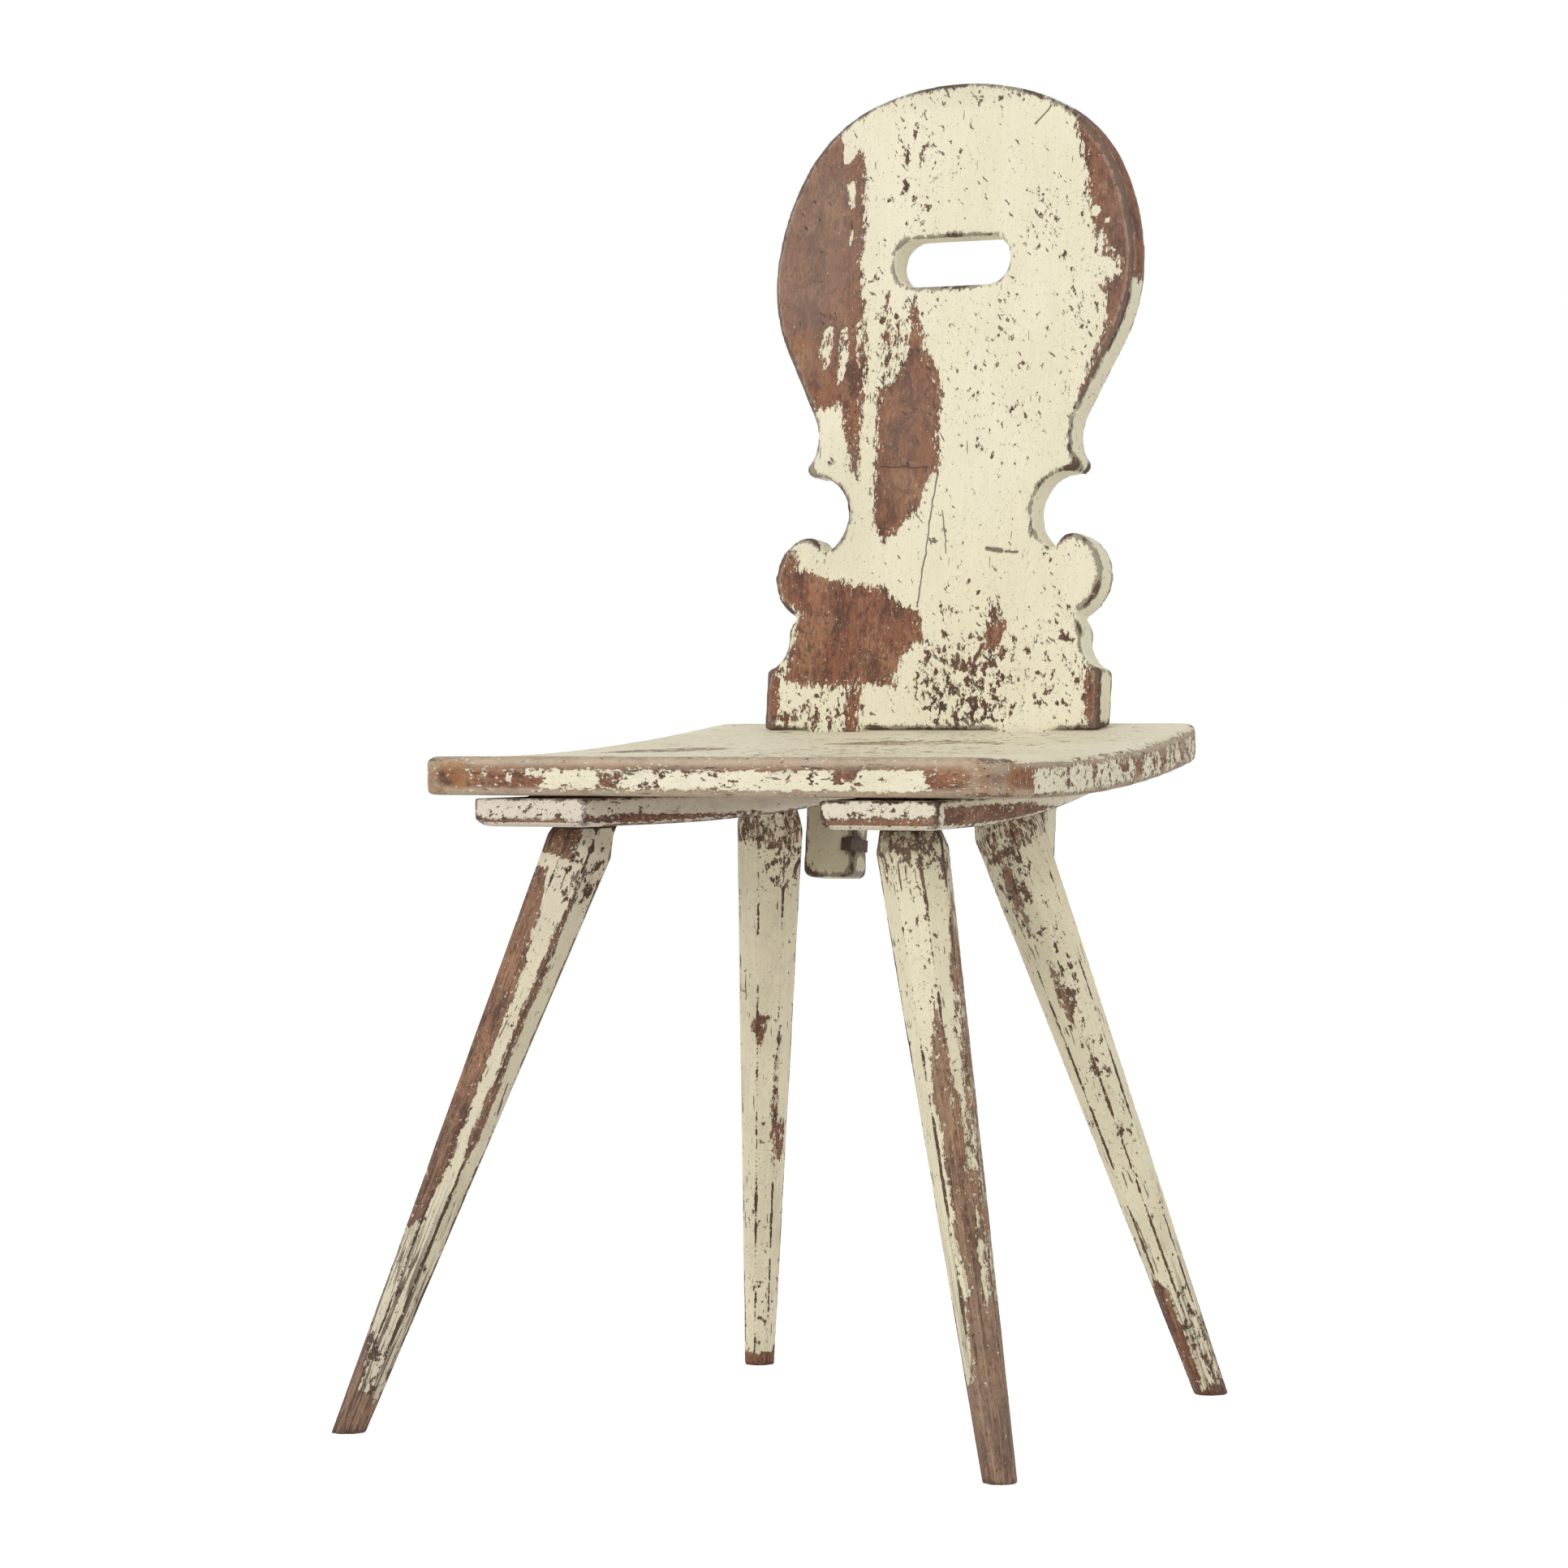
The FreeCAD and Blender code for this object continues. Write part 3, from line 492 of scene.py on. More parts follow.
class HandWork(SharedGroup):
    """Softens a remeshed piece's arrises and makes its faces a little uneven.

    It also keeps how far each arris stands out.
    """

    MIDDLE_WAVE = 0.62
    STRAIGHT_DOWN = -0.9

    def __init__(self) -> None:
        """Draws up the geometry nodes."""
        numbers = dict.fromkeys(("Arris Size", "Unevenness", "Waves", "Seed"), FLOAT)
        super().__init__(
            "Hand Work",
            "GeometryNodeTree",
            {"Geometry": GEOMETRY, "Softening": WHOLE, "Arris Reach": WHOLE, **numbers, "Finish": FINISH},
            {"Geometry": GEOMETRY},
        )
        g, inlet = self.graph, self.inlet
        place = g.node("GeometryNodeInputPosition").outputs[0]
        normal = g.node("GeometryNodeInputNormal").outputs[0]
        soft, wide = self.blurred(place, inlet["Softening"]), self.blurred(place, inlet["Arris Reach"])
        rise = g.vector("DOT_PRODUCT", g.vector("SUBTRACT", place, wide), normal)
        softened = g.node("GeometryNodeSetPosition", {"Geometry": inlet["Geometry"], "Position": soft})
        stored = g.node(
            "GeometryNodeStoreNamedAttribute",
            {"Geometry": softened.outputs[0], "Name": "arris"},
            data_type="FLOAT",
            domain="POINT",
        )
        g.feed(self.first(stored.inputs, "VALUE"), g.maths("DIVIDE", rise, inlet["Arris Size"]))
        wave = g.node(
            "ShaderNodeTexNoise",
            {"Vector": place, "W": inlet["Seed"], "Scale": inlet["Waves"], "Detail": 3.0},
            noise_dimensions="4D",
        ).outputs[0]
        sunk = g.times(g.less(wave, self.MIDDLE_WAVE), inlet["Unevenness"])
        upward = g.node("ShaderNodeSeparateXYZ", {0: normal}).outputs[2]
        feeds = {0: upward, 1: self.STRAIGHT_DOWN}
        not_under = g.node("FunctionNodeCompare", feeds, data_type="FLOAT", operation="GREATER_THAN")
        feeds = {"Selection": not_under.outputs[0], "Offset": g.stretched(normal, sunk)}
        work = g.node("GeometryNodeSetPosition", {"Geometry": stored.outputs[0], **feeds})
        work = g.node("GeometryNodeSetShadeSmooth", {"Geometry": work.outputs[0]})
        work = g.node("GeometryNodeRealizeInstances", {"Geometry": work.outputs[0]})
        work = g.node("GeometryNodeSetMaterial", {"Geometry": work.outputs[0], "Material": inlet["Finish"]})
        g.feed(self.outlet["Geometry"], work.outputs[0])

    def first(self, sockets: bpy.types.NodeInputs | bpy.types.NodeOutputs, kind: str) -> Socket:
        """Finds a node's first socket of a type."""
        return next(socket for socket in sockets if socket.type == kind)

    def blurred(self, value: Socket, rounds: Socket) -> Socket:
        """Smooths a vector over the mesh, in a number of rounds."""
        feeds = {"Iterations": rounds}
        made = self.graph.node("GeometryNodeBlurAttribute", feeds, data_type="FLOAT_VECTOR")
        self.graph.feed(self.first(made.inputs, "VECTOR"), value)
        return self.first(made.outputs, "VECTOR")

    def identifiers(self) -> dict[str, str]:
        """Returns each input's identifier by its name."""
        sockets = (item for item in self.tree.interface.items_tree if item.item_type == "SOCKET")
        return {item.name: item.identifier for item in sockets if item.in_out == "INPUT"}


class Workshop:
    """Holds the shared groups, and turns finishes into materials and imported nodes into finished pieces."""

    MARKS = ("bare", "chipped", "grime_and_shade", "warm", "weathered", "arris")
    SEED_STEPS = (0.37, 0.61, 0.83)
    CRAZING = (190.0, 190.0, 95.0)
    MERGED = 1e-6
    ARRIS_REACH = 24
    ARRIS_GAIN = 0.7
    WAVES = 26.0

    def __init__(self) -> None:
        """Makes each shared group once."""
        self.grain = TimberGrain()
        self.wear = PaintWear()
        self.dark_line = DarkLineTrace()
        self.hand = HandWork()

    def coordinates(self, g: Graph, grain: GrainFrame, seed: float) -> tuple[Socket, Socket]:
        """Places Object coordinates in a piece's grain frame.

        Args:
            g: The material's graph.
            grain: The piece's grain frame.
            seed: Moves the pattern, so that no two pieces match.

        Returns:
            The piece's own coordinates, and the same moved by the seed.
        """
        where = g.node("ShaderNodeTexCoord").outputs["Object"]
        feeds = {"Vector": where, "Location": tuple(grain.origin), "Rotation": tuple(grain.turn)}
        own = g.node("ShaderNodeMapping", feeds, vector_type="TEXTURE").outputs[0]
        return own, g.vector("ADD", own, tuple(seed * step for step in self.SEED_STEPS))

    def shade(self, g: Graph, height: Socket, strength: float, depth: float, **feeds: Feed) -> None:
        """Adds the one shader of a material.

        Args:
            g: The material's graph.
            height: The relief of the surface.
            strength: How strong the relief looks.
            depth: How deep it is, in metres.
            feeds: The shader's other sockets, with _ for a blank.
        """
        relief = {"Strength": strength, "Distance": depth, "Height": height}
        sockets = {label.replace("_", " "): value for label, value in feeds.items()}
        sockets["Normal"] = g.node("ShaderNodeBump", relief).outputs[0]
        shader = g.node("ShaderNodeBsdfPrincipled", sockets)
        g.node("ShaderNodeOutputMaterial", {"Surface": shader.outputs[0]})

    def coat(self, g: Graph, finish: WornPaint, moved: Socket, wear: dict, grime_and_shade: Socket) -> Socket:
        """Mixes the paint: mellowed patches, brush marks, crazing, dirt with painted shade, and spots.

        Args:
            g: The material's graph.
            finish: The piece's colours and wear.
            moved: The moved coordinates.
            wear: The wear masks.
            grime_and_shade: Where dirt lies on the piece, and where shade is painted on it.

        Returns:
            The paint's colour.
        """
        dirt, cloud, grey = wear["Dirt"], wear["Cloud"], finish.cream_grey
        # Dirt greys the paint, and so does painted shade where the grime places lie under the seat.
        soot_and_shade = g.most(g.times(dirt, finish.grime_and_shade), g.times(dirt, grime_and_shade), g.times(grime_and_shade, 0.45))
        feeds = {"Vector": g.vector("MULTIPLY", moved, self.CRAZING), "Scale": 1.0, "Randomness": 1.0}
        cells = g.node("ShaderNodeTexVoronoi", feeds, feature="DISTANCE_TO_EDGE").outputs[0]
        craze = g.times(g.ramp(cells, 0.05, 0.01), g.ramp(cloud, 0.40, 0.60))
        cream = g.layer(finish.cream, g.ramp(cloud, 0.42, 0.60), 0.55, finish.mellow)
        cream = g.layer(cream, g.mask(moved, Pattern.BRUSHED, 0.45, 0.62), 0.14, grey)
        cream = g.blend(soot_and_shade, g.layer(cream, craze, 0.16, grey), grey)
        cream = g.layer(cream, g.mask(moved, Pattern.SPOTS, 0.62, 0.72), 0.45, finish.spots)
        return g.layer(cream, wear["Lip"], 0.22, finish.lip)

    def painted(self, finish: WornPaint, grain: GrainFrame) -> bpy.types.Material:
        """Makes the material of a painted piece.

        Args:
            finish: The piece's colours and wear.
            grain: The piece's grain frame.

        Returns:
            The material.
        """
        material = bpy.data.materials.new(finish.name)
        g = blank(material)
        own, moved = self.coordinates(g, grain, finish.seed)
        mark = {name: g.attribute(name) for name in self.MARKS}
        places = zip(PaintWear.PLACES, (mark["bare"], mark["chipped"], mark["arris"]))
        habits = zip(PaintWear.HABITS, finish.habits())
        wear = self.wear.place(g, {"Grain": moved, **dict(places), **dict(habits)})
        colours = {"Wood": finish.wood, "Dark Wood": finish.wood_dark, "Tint": finish.wood_tint}
        wood = self.grain.place(g, {"Grain": moved, **colours, "Dust": finish.dust})
        bare, dirt = wear["Bare"], wear["Dirt"]
        # On bare wood the grime places lay dirt and painted shade.
        aged_and_shaded = g.layer(wood["Color"], mark["grime_and_shade"], finish.aged_and_shaded_share, finish.aged_and_shaded)
        scraped = g.times(g.ramp(mark["arris"], 0.28, 0.60), finish.scraped)
        aged_and_shaded = g.blend(g.times(scraped, g.scaled(dirt, -0.6, 1.0)), aged_and_shaded, finish.dust)
        aged_and_shaded = g.layer(aged_and_shaded, mark["warm"], dirt, finish.wood_warm)
        pale = g.mask(moved, Pattern.PALE_GRAIN, 0.46, 0.64)
        aged_and_shaded = g.layer(aged_and_shaded, pale, finish.pale_grain, finish.pale_wood)
        aged_and_shaded = g.layer(aged_and_shaded, wear["Dark"], finish.darkening, finish.broken_edge)
        furrow = g.mask(moved, Pattern.FURROWS, 0.515, 0.565)
        lines = g.most(wear["Line"], g.times(furrow, mark["weathered"]))
        # Cracks, and the left batten's painted gap shadows, darken like the other lines.
        for dark_line in finish.dark_lines:
            feeds = {"Grain": own, "Start": dark_line.start, "End": dark_line.end, "Width": dark_line.width}
            lines = g.most(lines, self.dark_line.place(g, feeds)["DarkLine"])
        surface = g.blend(bare, self.coat(g, finish, moved, wear, mark["grime_and_shade"]), aged_and_shaded)
        film = g.less(1.0, bare)
        fibre = g.times(wood["Fibre"], g.scaled(film, -0.20, 0.32))
        self.shade(
            g,
            g.less(g.scaled(film, 0.5, fibre), g.times(lines, 0.6)),
            0.8,
            0.0008,
            Base_Color=g.layer(surface, lines, 0.85, finish.lines),
            Roughness=g.scaled(dirt, 0.10, g.scaled(bare, 0.14, 0.58)),
            Specular_IOR_Level=0.35,
        )
        return material

    def split(self, finish: SplitWood, grain: GrainFrame) -> bpy.types.Material:
        """Makes the material of a bare wedge or peg.

        Args:
            finish: Its colours.
            grain: Its grain frame.

        Returns:
            The material.
        """
        material = bpy.data.materials.new(finish.name)
        g = blank(material)
        _own, moved = self.coordinates(g, grain, finish.seed)
        colours = {"Wood": finish.wood, "Dark Wood": finish.wood_dark, "Tint": finish.wood}
        wood = self.grain.place(g, {"Grain": moved, **colours, "Dust": finish.dust})
        rough = g.scaled(wood["Fibre"], 0.2, 0.6)
        self.shade(g, wood["Fibre"], 0.6, 0.0005, Base_Color=wood["Color"], Roughness=rough)
        return material

    def worked(self, node: str, hand: Handling, material: bpy.types.Material) -> bpy.types.Object:
        """Makes a fine, hand-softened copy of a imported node.

        Args:
            node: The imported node.
            hand: How it is worked over.
            material: Its finish.

        Returns:
            The finished piece, not yet riding.
        """
        copy = bmesh.new()
        copy.from_mesh(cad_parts[node].data)
        bmesh.ops.remove_doubles(copy, verts=copy.verts, dist=self.MERGED)
        plain = bpy.data.meshes.new(node + "_plain")
        copy.to_mesh(plain)
        copy.free()
        worker = bpy.data.objects.new(node + "_worker", plain)
        bpy.context.scene.collection.objects.link(worker)
        remesh = worker.modifiers.new("fine", "REMESH")
        remesh.mode = "VOXEL"
        remesh.voxel_size = hand.voxel
        nodes = worker.modifiers.new("hand", "NODES")
        nodes.node_group = self.hand.tree
        names = self.hand.identifiers()
        values = {
            "Softening": hand.softening,
            "Arris Reach": self.ARRIS_REACH,
            "Arris Size": hand.voxel * math.sqrt(self.ARRIS_REACH) * self.ARRIS_GAIN,
            "Unevenness": hand.unevenness,
            "Waves": self.WAVES,
            "Seed": hand.seed,
            "Finish": material,
        }
        for label, value in values.items():
            nodes[names[label]] = value
        graph = bpy.context.evaluated_depsgraph_get()
        mesh = bpy.data.meshes.new_from_object(worker.evaluated_get(graph))
        bpy.data.objects.remove(worker)
        bpy.data.meshes.remove(plain)
        mesh.name = node
        proud = np.zeros(len(mesh.vertices), np.float32)
        mesh.attributes["arris"].data.foreach_get("value", proud)
        proud = np.clip(proud / np.percentile(proud, 100.0 - hand.arris_share), -1.0, 1.2)
        mesh.attributes["arris"].data.foreach_set("value", proud)
        piece = bpy.data.objects.new(node + "_worked", mesh)
        bpy.context.scene.collection.objects.link(piece)
        return piece

    def hand_over(self, piece: bpy.types.Object, node: str) -> None:
        """Lets a piece stand for its node on the rigid body.

        Args:
            piece: The finished piece.
            node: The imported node.
        """
        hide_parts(node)
        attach(piece, "root")
        log.info("%s: %d faces", piece.name, len(piece.data.polygons))


def inside_distance(points: np.ndarray, corners: tuple[Corner, ...]) -> np.ndarray:
    """Measures how far each point lies inside an outline.

    Args:
        points: One point to a row, in millimetres.
        corners: The outline's corners, in millimetres.

    Returns:
        The distance to the outline, positive inside it.
    """
    tiny = 1e-9
    ends = np.array(corners, float)
    starts = np.roll(ends, 1, axis=0)
    nearest = np.full(len(points), np.inf)
    inside = np.zeros(len(points), bool)
    for start, end in zip(starts, ends):
        along = end - start
        offset = points - start
        share = np.clip(offset @ along / max(along @ along, tiny), 0.0, 1.0)
        nearest = np.minimum(nearest, np.linalg.norm(offset - share[:, None] * along, axis=1))
        spans = (start[1] > points[:, 1]) != (end[1] > points[:, 1])
        run = along[1] if abs(along[1]) > tiny else tiny
        inside ^= spans & (points[:, 0] < start[0] + offset[:, 1] / run * along[0])
    return np.where(inside, nearest, -nearest)


@dataclass
class WearMap:
    """The worn, chipped, warm and weathered places of one piece, and its places of dirt and painted shade."""

    worn: tuple[WornPlace, ...] = ()
    chipped: tuple[OvalPlace, ...] = ()
    grimy_and_shaded: tuple[OvalPlace, ...] = ()
    warm: tuple[OvalPlace, ...] = ()
    weathered: tuple[OvalPlace, ...] = ()
    kept_edge: float = 1.5

    def write(self, piece: bpy.types.Object, charts: Charts) -> None:
        """Keeps the places as values at the piece's points.

        Args:
            piece: The piece.
            charts: For each side, which points lie on it and where they are on it, in millimetres.
        """
        count = len(piece.data.vertices)
        bare = np.full(count, UNWORN)
        for place in self.worn:
            on, where = charts[place.side]
            depth = inside_distance(where, place.corners)
            if place.level > 0.0:
                bare = np.maximum(bare, np.where(on, np.minimum(depth, place.level), UNWORN))
            else:
                share = np.where(on, np.clip(depth / self.kept_edge, 0.0, 1.0), 0.0)
                bare = bare * (1.0 - share) + place.level * share
        marks = {"bare": np.clip(bare, UNWORN, -UNWORN) * MM}
        kinds = {"chipped": self.chipped, "grime_and_shade": self.grimy_and_shaded, "warm": self.warm, "weathered": self.weathered}
        marks |= {name: self.amounts(count, places, charts) for name, places in kinds.items()}
        for name, values in marks.items():
            attribute = piece.data.attributes.new(name, "FLOAT", "POINT")
            attribute.data.foreach_set("value", np.asarray(values, np.float32))

    def amounts(self, count: int, places: tuple[OvalPlace, ...], charts: Charts) -> np.ndarray:
        """Adds up the amounts of oval places.

        Args:
            count: How many points the piece has.
            places: The oval places.
            charts: The sides, as in write.

        Returns:
            The amount at each point.
        """
        total = np.zeros(count)
        for place in places:
            on, where = charts[place.side]
            away = np.linalg.norm((where - np.array(place.centre)) / np.array(place.reach), axis=1)
            total = np.maximum(total, np.where(on, place.amount * np.clip(1.6 - 1.2 * away, 0.0, 1.0), 0.0))
        return total


def worn(side: Side, *places: tuple) -> tuple[WornPlace, ...]:
    """Outlines the worn places of one side.

    Args:
        side: The side that they lie on.
        places: For each place its level, then its corners. A kept place covers what comes before it.

    Returns:
        The worn places, in the same order.
    """
    return tuple(WornPlace(side, tuple(corners), level) for level, *corners in places)


def ovals(side: Side, *places: tuple[float, ...]) -> tuple[OvalPlace, ...]:
    """Outlines the oval places of one side.

    Args:
        side: The side that they lie on.
        places: For each place its centre across and up, its reach across and up, and its amount.

    Returns:
        The oval places.
    """
    return tuple(OvalPlace(side, (x, y), (wide, high), amount) for x, y, wide, high, amount in places)


def facets(*bands: tuple[float, ...]) -> tuple[WornPlace, ...]:
    """Outlines worn bands of a leg: ragged ones at both ends, or plain ones that go well round it.

    Args:
        bands: For each band its start and end round the leg, in degrees from the viewer's side to the right,
            its lowest and highest height along the leg in millimetres, and its level.

    Returns:
        The worn places, in the same order.
    """
    places = []
    for start, end, low, high, level in bands:
        left, right = (math.radians(angle) * LEG_RADIUS for angle in (start, end))
        if end - start > 140.0:
            corners = (left, low), (right, low), (right, high), (left, high)
        else:
            middle = left * 0.35 + right * 0.65
            taper = 0.3 * (high - low)
            corners = (
                (middle, low - 0.4 * taper), (right, low + 0.6 * taper), (right, high - 0.2 * taper),
                (middle, high + 0.2 * taper), (left, high - 0.8 * taper), (left, low + 0.3 * taper),
            )
        places.append(WornPlace(Side.ROUND, corners, level))
    return tuple(places)


def halves(on: np.ndarray, facing: np.ndarray, where: np.ndarray, low: Side, high: Side) -> Charts:
    """Splits points between two opposite sides, by whether they face the negative or the positive way."""
    return {low: (on & (facing < 0.0), where), high: (on & (facing > 0.0), where)}


class PaintedPiece:
    """A painted piece: it says its grain, its finish, its wear, its handling and what lies on each side."""

    node: str

    def build(self, shop: Workshop) -> None:
        """Builds, dresses and hands over the piece."""
        material = shop.painted(self.finish(), self.grain())
        piece = shop.worked(self.node, self.handling(), material)
        spots, normals = np.zeros((2, len(piece.data.vertices) * 3), np.float32)
        piece.data.vertices.foreach_get("co", spots)
        piece.data.vertex_normals.foreach_get("vector", normals)
        charts = self.charts(spots.reshape(-1, 3).astype(float), normals.reshape(-1, 3).astype(float))
        self.wear().write(piece, charts)
        shop.hand_over(piece, self.node)


@dataclass
class BackBoard(PaintedPiece):
    """The sawn back with its hand hole, scrolls and two tenons."""

    node: str = "back_board"
    lean: float = math.radians(6.9)
    foot: Point = (0.0, 0.143, 0.450)
    inner: float = 60.0

    def handling(self) -> Handling:
        """The board is worn soft."""
        return Handling(0.002, 3, 0.0005, 3.1)

    def grain(self) -> GrainFrame:
        """The grain stands up the board."""
        return GrainFrame(Vector(self.foot), Euler((-self.lean, 0.0, 0.0)))

    def finish(self) -> WornPaint:
        """The board's paint, with the cracks that run up it."""
        dark_lines = (
            (-0.002, 0.197, -0.013, 0.100, 0.0008), (0.003, 0.168, 0.008, 0.138, 0.0006),
            (0.040, 0.1400, 0.052, 0.1392, 0.0020), (0.055, 0.1385, 0.064, 0.1380, 0.0013),
            (-0.048, 0.200, -0.010, 0.199, 0.0006), (0.062, 0.440, 0.074, 0.452, 0.0008),
            (-0.118, 0.0032, -0.052, 0.0008, 0.0018), (0.052, 0.0008, 0.118, 0.0032, 0.0018),
        )
        return WornPaint(
            "cream_paint_on_back",
            dust=(0.52, 0.38, 0.29),
            scraped=0.50, fray=0.007, arris_wear=0.24, chips=0.22, dashes=0.30, nicks=0.40, arris_line=0.66,
            grime_and_shade=0.12, seed=1.3,
            dark_lines=tuple(DarkLine((x, 0.0, z), (to_x, 0.0, to_z), width) for x, z, to_x, to_z, width in dark_lines),
        )

    def wear(self) -> WearMap:
        """The worn places of the front, the rear and the sawn edges."""
        front = worn(
            Side.FRONT,
            (12, (-88, 444), (-76, 426), (-70, 381), (-72, 350), (-66, 296), (-66, 250), (-104, 242),
             (-130, 272), (-155, 318), (-160, 357), (-150, 395), (-125, 420), (-104, 440)),
            (5, (-88, 262), (-66, 260), (-68, 192), (-76, 214)),
            (12, (-29, 321), (-19, 284), (-6, 265), (0, 254), (-5, 220), (-1, 200), (-8, 189), (-16, 170),
             (-36, 151), (-43, 146), (-52, 156), (-53, 198), (-53, 255), (-38, 268), (-31, 285)),
            (3, (-53, 324), (-48, 324), (-43, 266), (-47, 266)),
            (0.2, (-49, 304), (-36, 306), (-30, 262), (-50, 256)),
            (8, (91, 442), (105, 404), (107, 381), (113, 360), (118, 345), (131, 341), (132, 332), (119, 322),
             (124, 311), (123, 291), (117, 272), (106, 244), (118, 244), (142, 280), (160, 320), (158, 360),
             (146, 396), (118, 436)),
            (12, (-110, 127), (-83, 123), (-67, 115), (-38, 115), (-29, 103), (-11, 98), (-7, 75), (-25, 67),
             (-30, 45), (-56, 45), (-104, 45), (-120, 48), (-108, 96), (-124, 107), (-128, 134)),
            (4, (-56, 52), (-65, 52), (-66, -4), (-56, -4)),
            (3, (-119, 150), (-113, 142), (-114, 131), (-104, 124), (-116, 106), (-136, 108), (-136, 142)),
            (5, (-140, 62), (-121, 62), (-122, -6), (-140, -6)),
            (5, (122, 54), (140, 56), (140, -6), (124, -6)),
            (3, (46, 106), (57, 88), (54, 68), (43, 72)),
            (-1, (-107, 292), (-97, 305), (-90, 303), (-92, 278), (-99, 264), (-104, 274)),
            (-0.8, (-88, 300), (-80, 304), (-76, 282), (-82, 262), (-89, 256)),
            (-0.6, (-76, 303), (-70, 308), (-68, 279), (-73, 270)),
            (-4, (-95, 448), (-79, 446), (-76, 432), (-86, 417), (-92, 419)),
            (-1.6, (-90, 406), (-80, 408), (-79, 386), (-85, 384)),
            (-1.2, (-86, 373), (-78, 374), (-78, 358), (-84, 358)),
            (-9, (109, 379), (114, 381), (118, 377), (115, 371), (110, 372)),
            (-9, (120, 371), (124, 371), (124, 366), (120, 366)),
            (-1.4, (114, 362), (120, 364), (126, 352), (134, 346), (116, 346)),
            (-5, (-100, 142), (-74, 136), (-70, 124), (-84, 118), (-102, 126)),
        )
        left = worn(Side.LEFT, (12, (-140, 400), (-20, 400), (-20, 240), (-140, 240)))
        right = worn(Side.RIGHT, (9, (-40, 452), (40, 452), (40, 328), (-40, 328)))
        rear = worn(
            Side.REAR,
            (7, (150, 380), (118, 396), (96, 410), (88, 372), (104, 330), (96, 300), (84, 262), (98, 246),
             (112, 240), (150, 300), (166, 340)),
            (4, (-160, 350), (-140, 372), (-118, 352), (-122, 318), (-112, 286), (-160, 300)),
            (7, (-140, 60), (-108, 56), (-84, 70), (-70, 40), (-86, 18), (-92, -8), (-140, -8)),
            (1.2, (30, 62), (44, 120), (52, 168), (60, 150), (62, 96), (76, 58), (70, -8), (34, -8)),
            (0.6, (-52, 342), (52, 344), (60, 352), (44, 366), (-40, 362), (-60, 352)),
        )
        chipped = ovals(
            Side.FRONT,
            (30, 44, 56, 46, 1.1), (-90, 20, 40, 24, 1), (100, 60, 40, 60, 0.66), (20, 100, 30, 22, 0.66),
            (-30, 408, 24, 58, 0.7), (0, 464, 90, 11, 0.6), (-62, 300, 14, 110, 0.42),
            (-20, 300, 30, 30, 0.55), (104, 300, 30, 110, 0.5), (74, 370, 24, 34, 0.64),
            (46, 422, 6, 6, 0.85), (-24, 384, 7, 8, 0.85), (30, 210, 40, 60, 0.36), (92, 150, 20, 40, 0.5),
            (-10, 416, 34, 26, 0.36), (40, 250, 44, 80, 0.5),
        )
        # Dirt over the face and along the top edge; the place below the seat, over the tenons, is painted
        # shade.
        grimy_and_shaded = ovals(
            Side.FRONT,
            (-112, 360, 46, 96, 0.8), (-26, 220, 26, 60, 0.45), (130, 340, 24, 90, 0.35),
            (-84, 170, 30, 46, 0.85), (0, 466, 100, 12, 0.8), (0, -60, 160, 50, 1.0),
        )
        rear_chips = ovals(Side.REAR, (-20, 40, 120, 50, 0.7), (30, 440, 80, 30, 0.6), (0, 200, 70, 60, 0.4))
        return WearMap(
            front + left + right + rear,
            chipped + rear_chips,
            # The rear is darker at its foot, where the back meets the seat.
            grimy_and_shaded + ovals(Side.REAR, (0, 0, 160, 40, 0.8)),
            ovals(Side.FRONT, (-110, 268, 26, 26, 0.9), (-20, 190, 22, 34, 0.6)),
        )

    def charts(self, points: np.ndarray, normals: np.ndarray) -> Charts:
        """The faces by width and height, and the sawn edges by depth and height."""
        grain = self.grain()
        local = grain.to_local(points) / MM
        facing = grain.directions(normals)
        face = np.abs(facing[:, 1]) > FACING
        sawn = ~face & (np.abs(local[:, 0]) > self.inner)
        faces = halves(face, facing[:, 1], local[:, [0, 2]], Side.FRONT, Side.REAR)
        return faces | halves(sawn, facing[:, 0], local[:, [1, 2]], Side.LEFT, Side.RIGHT)


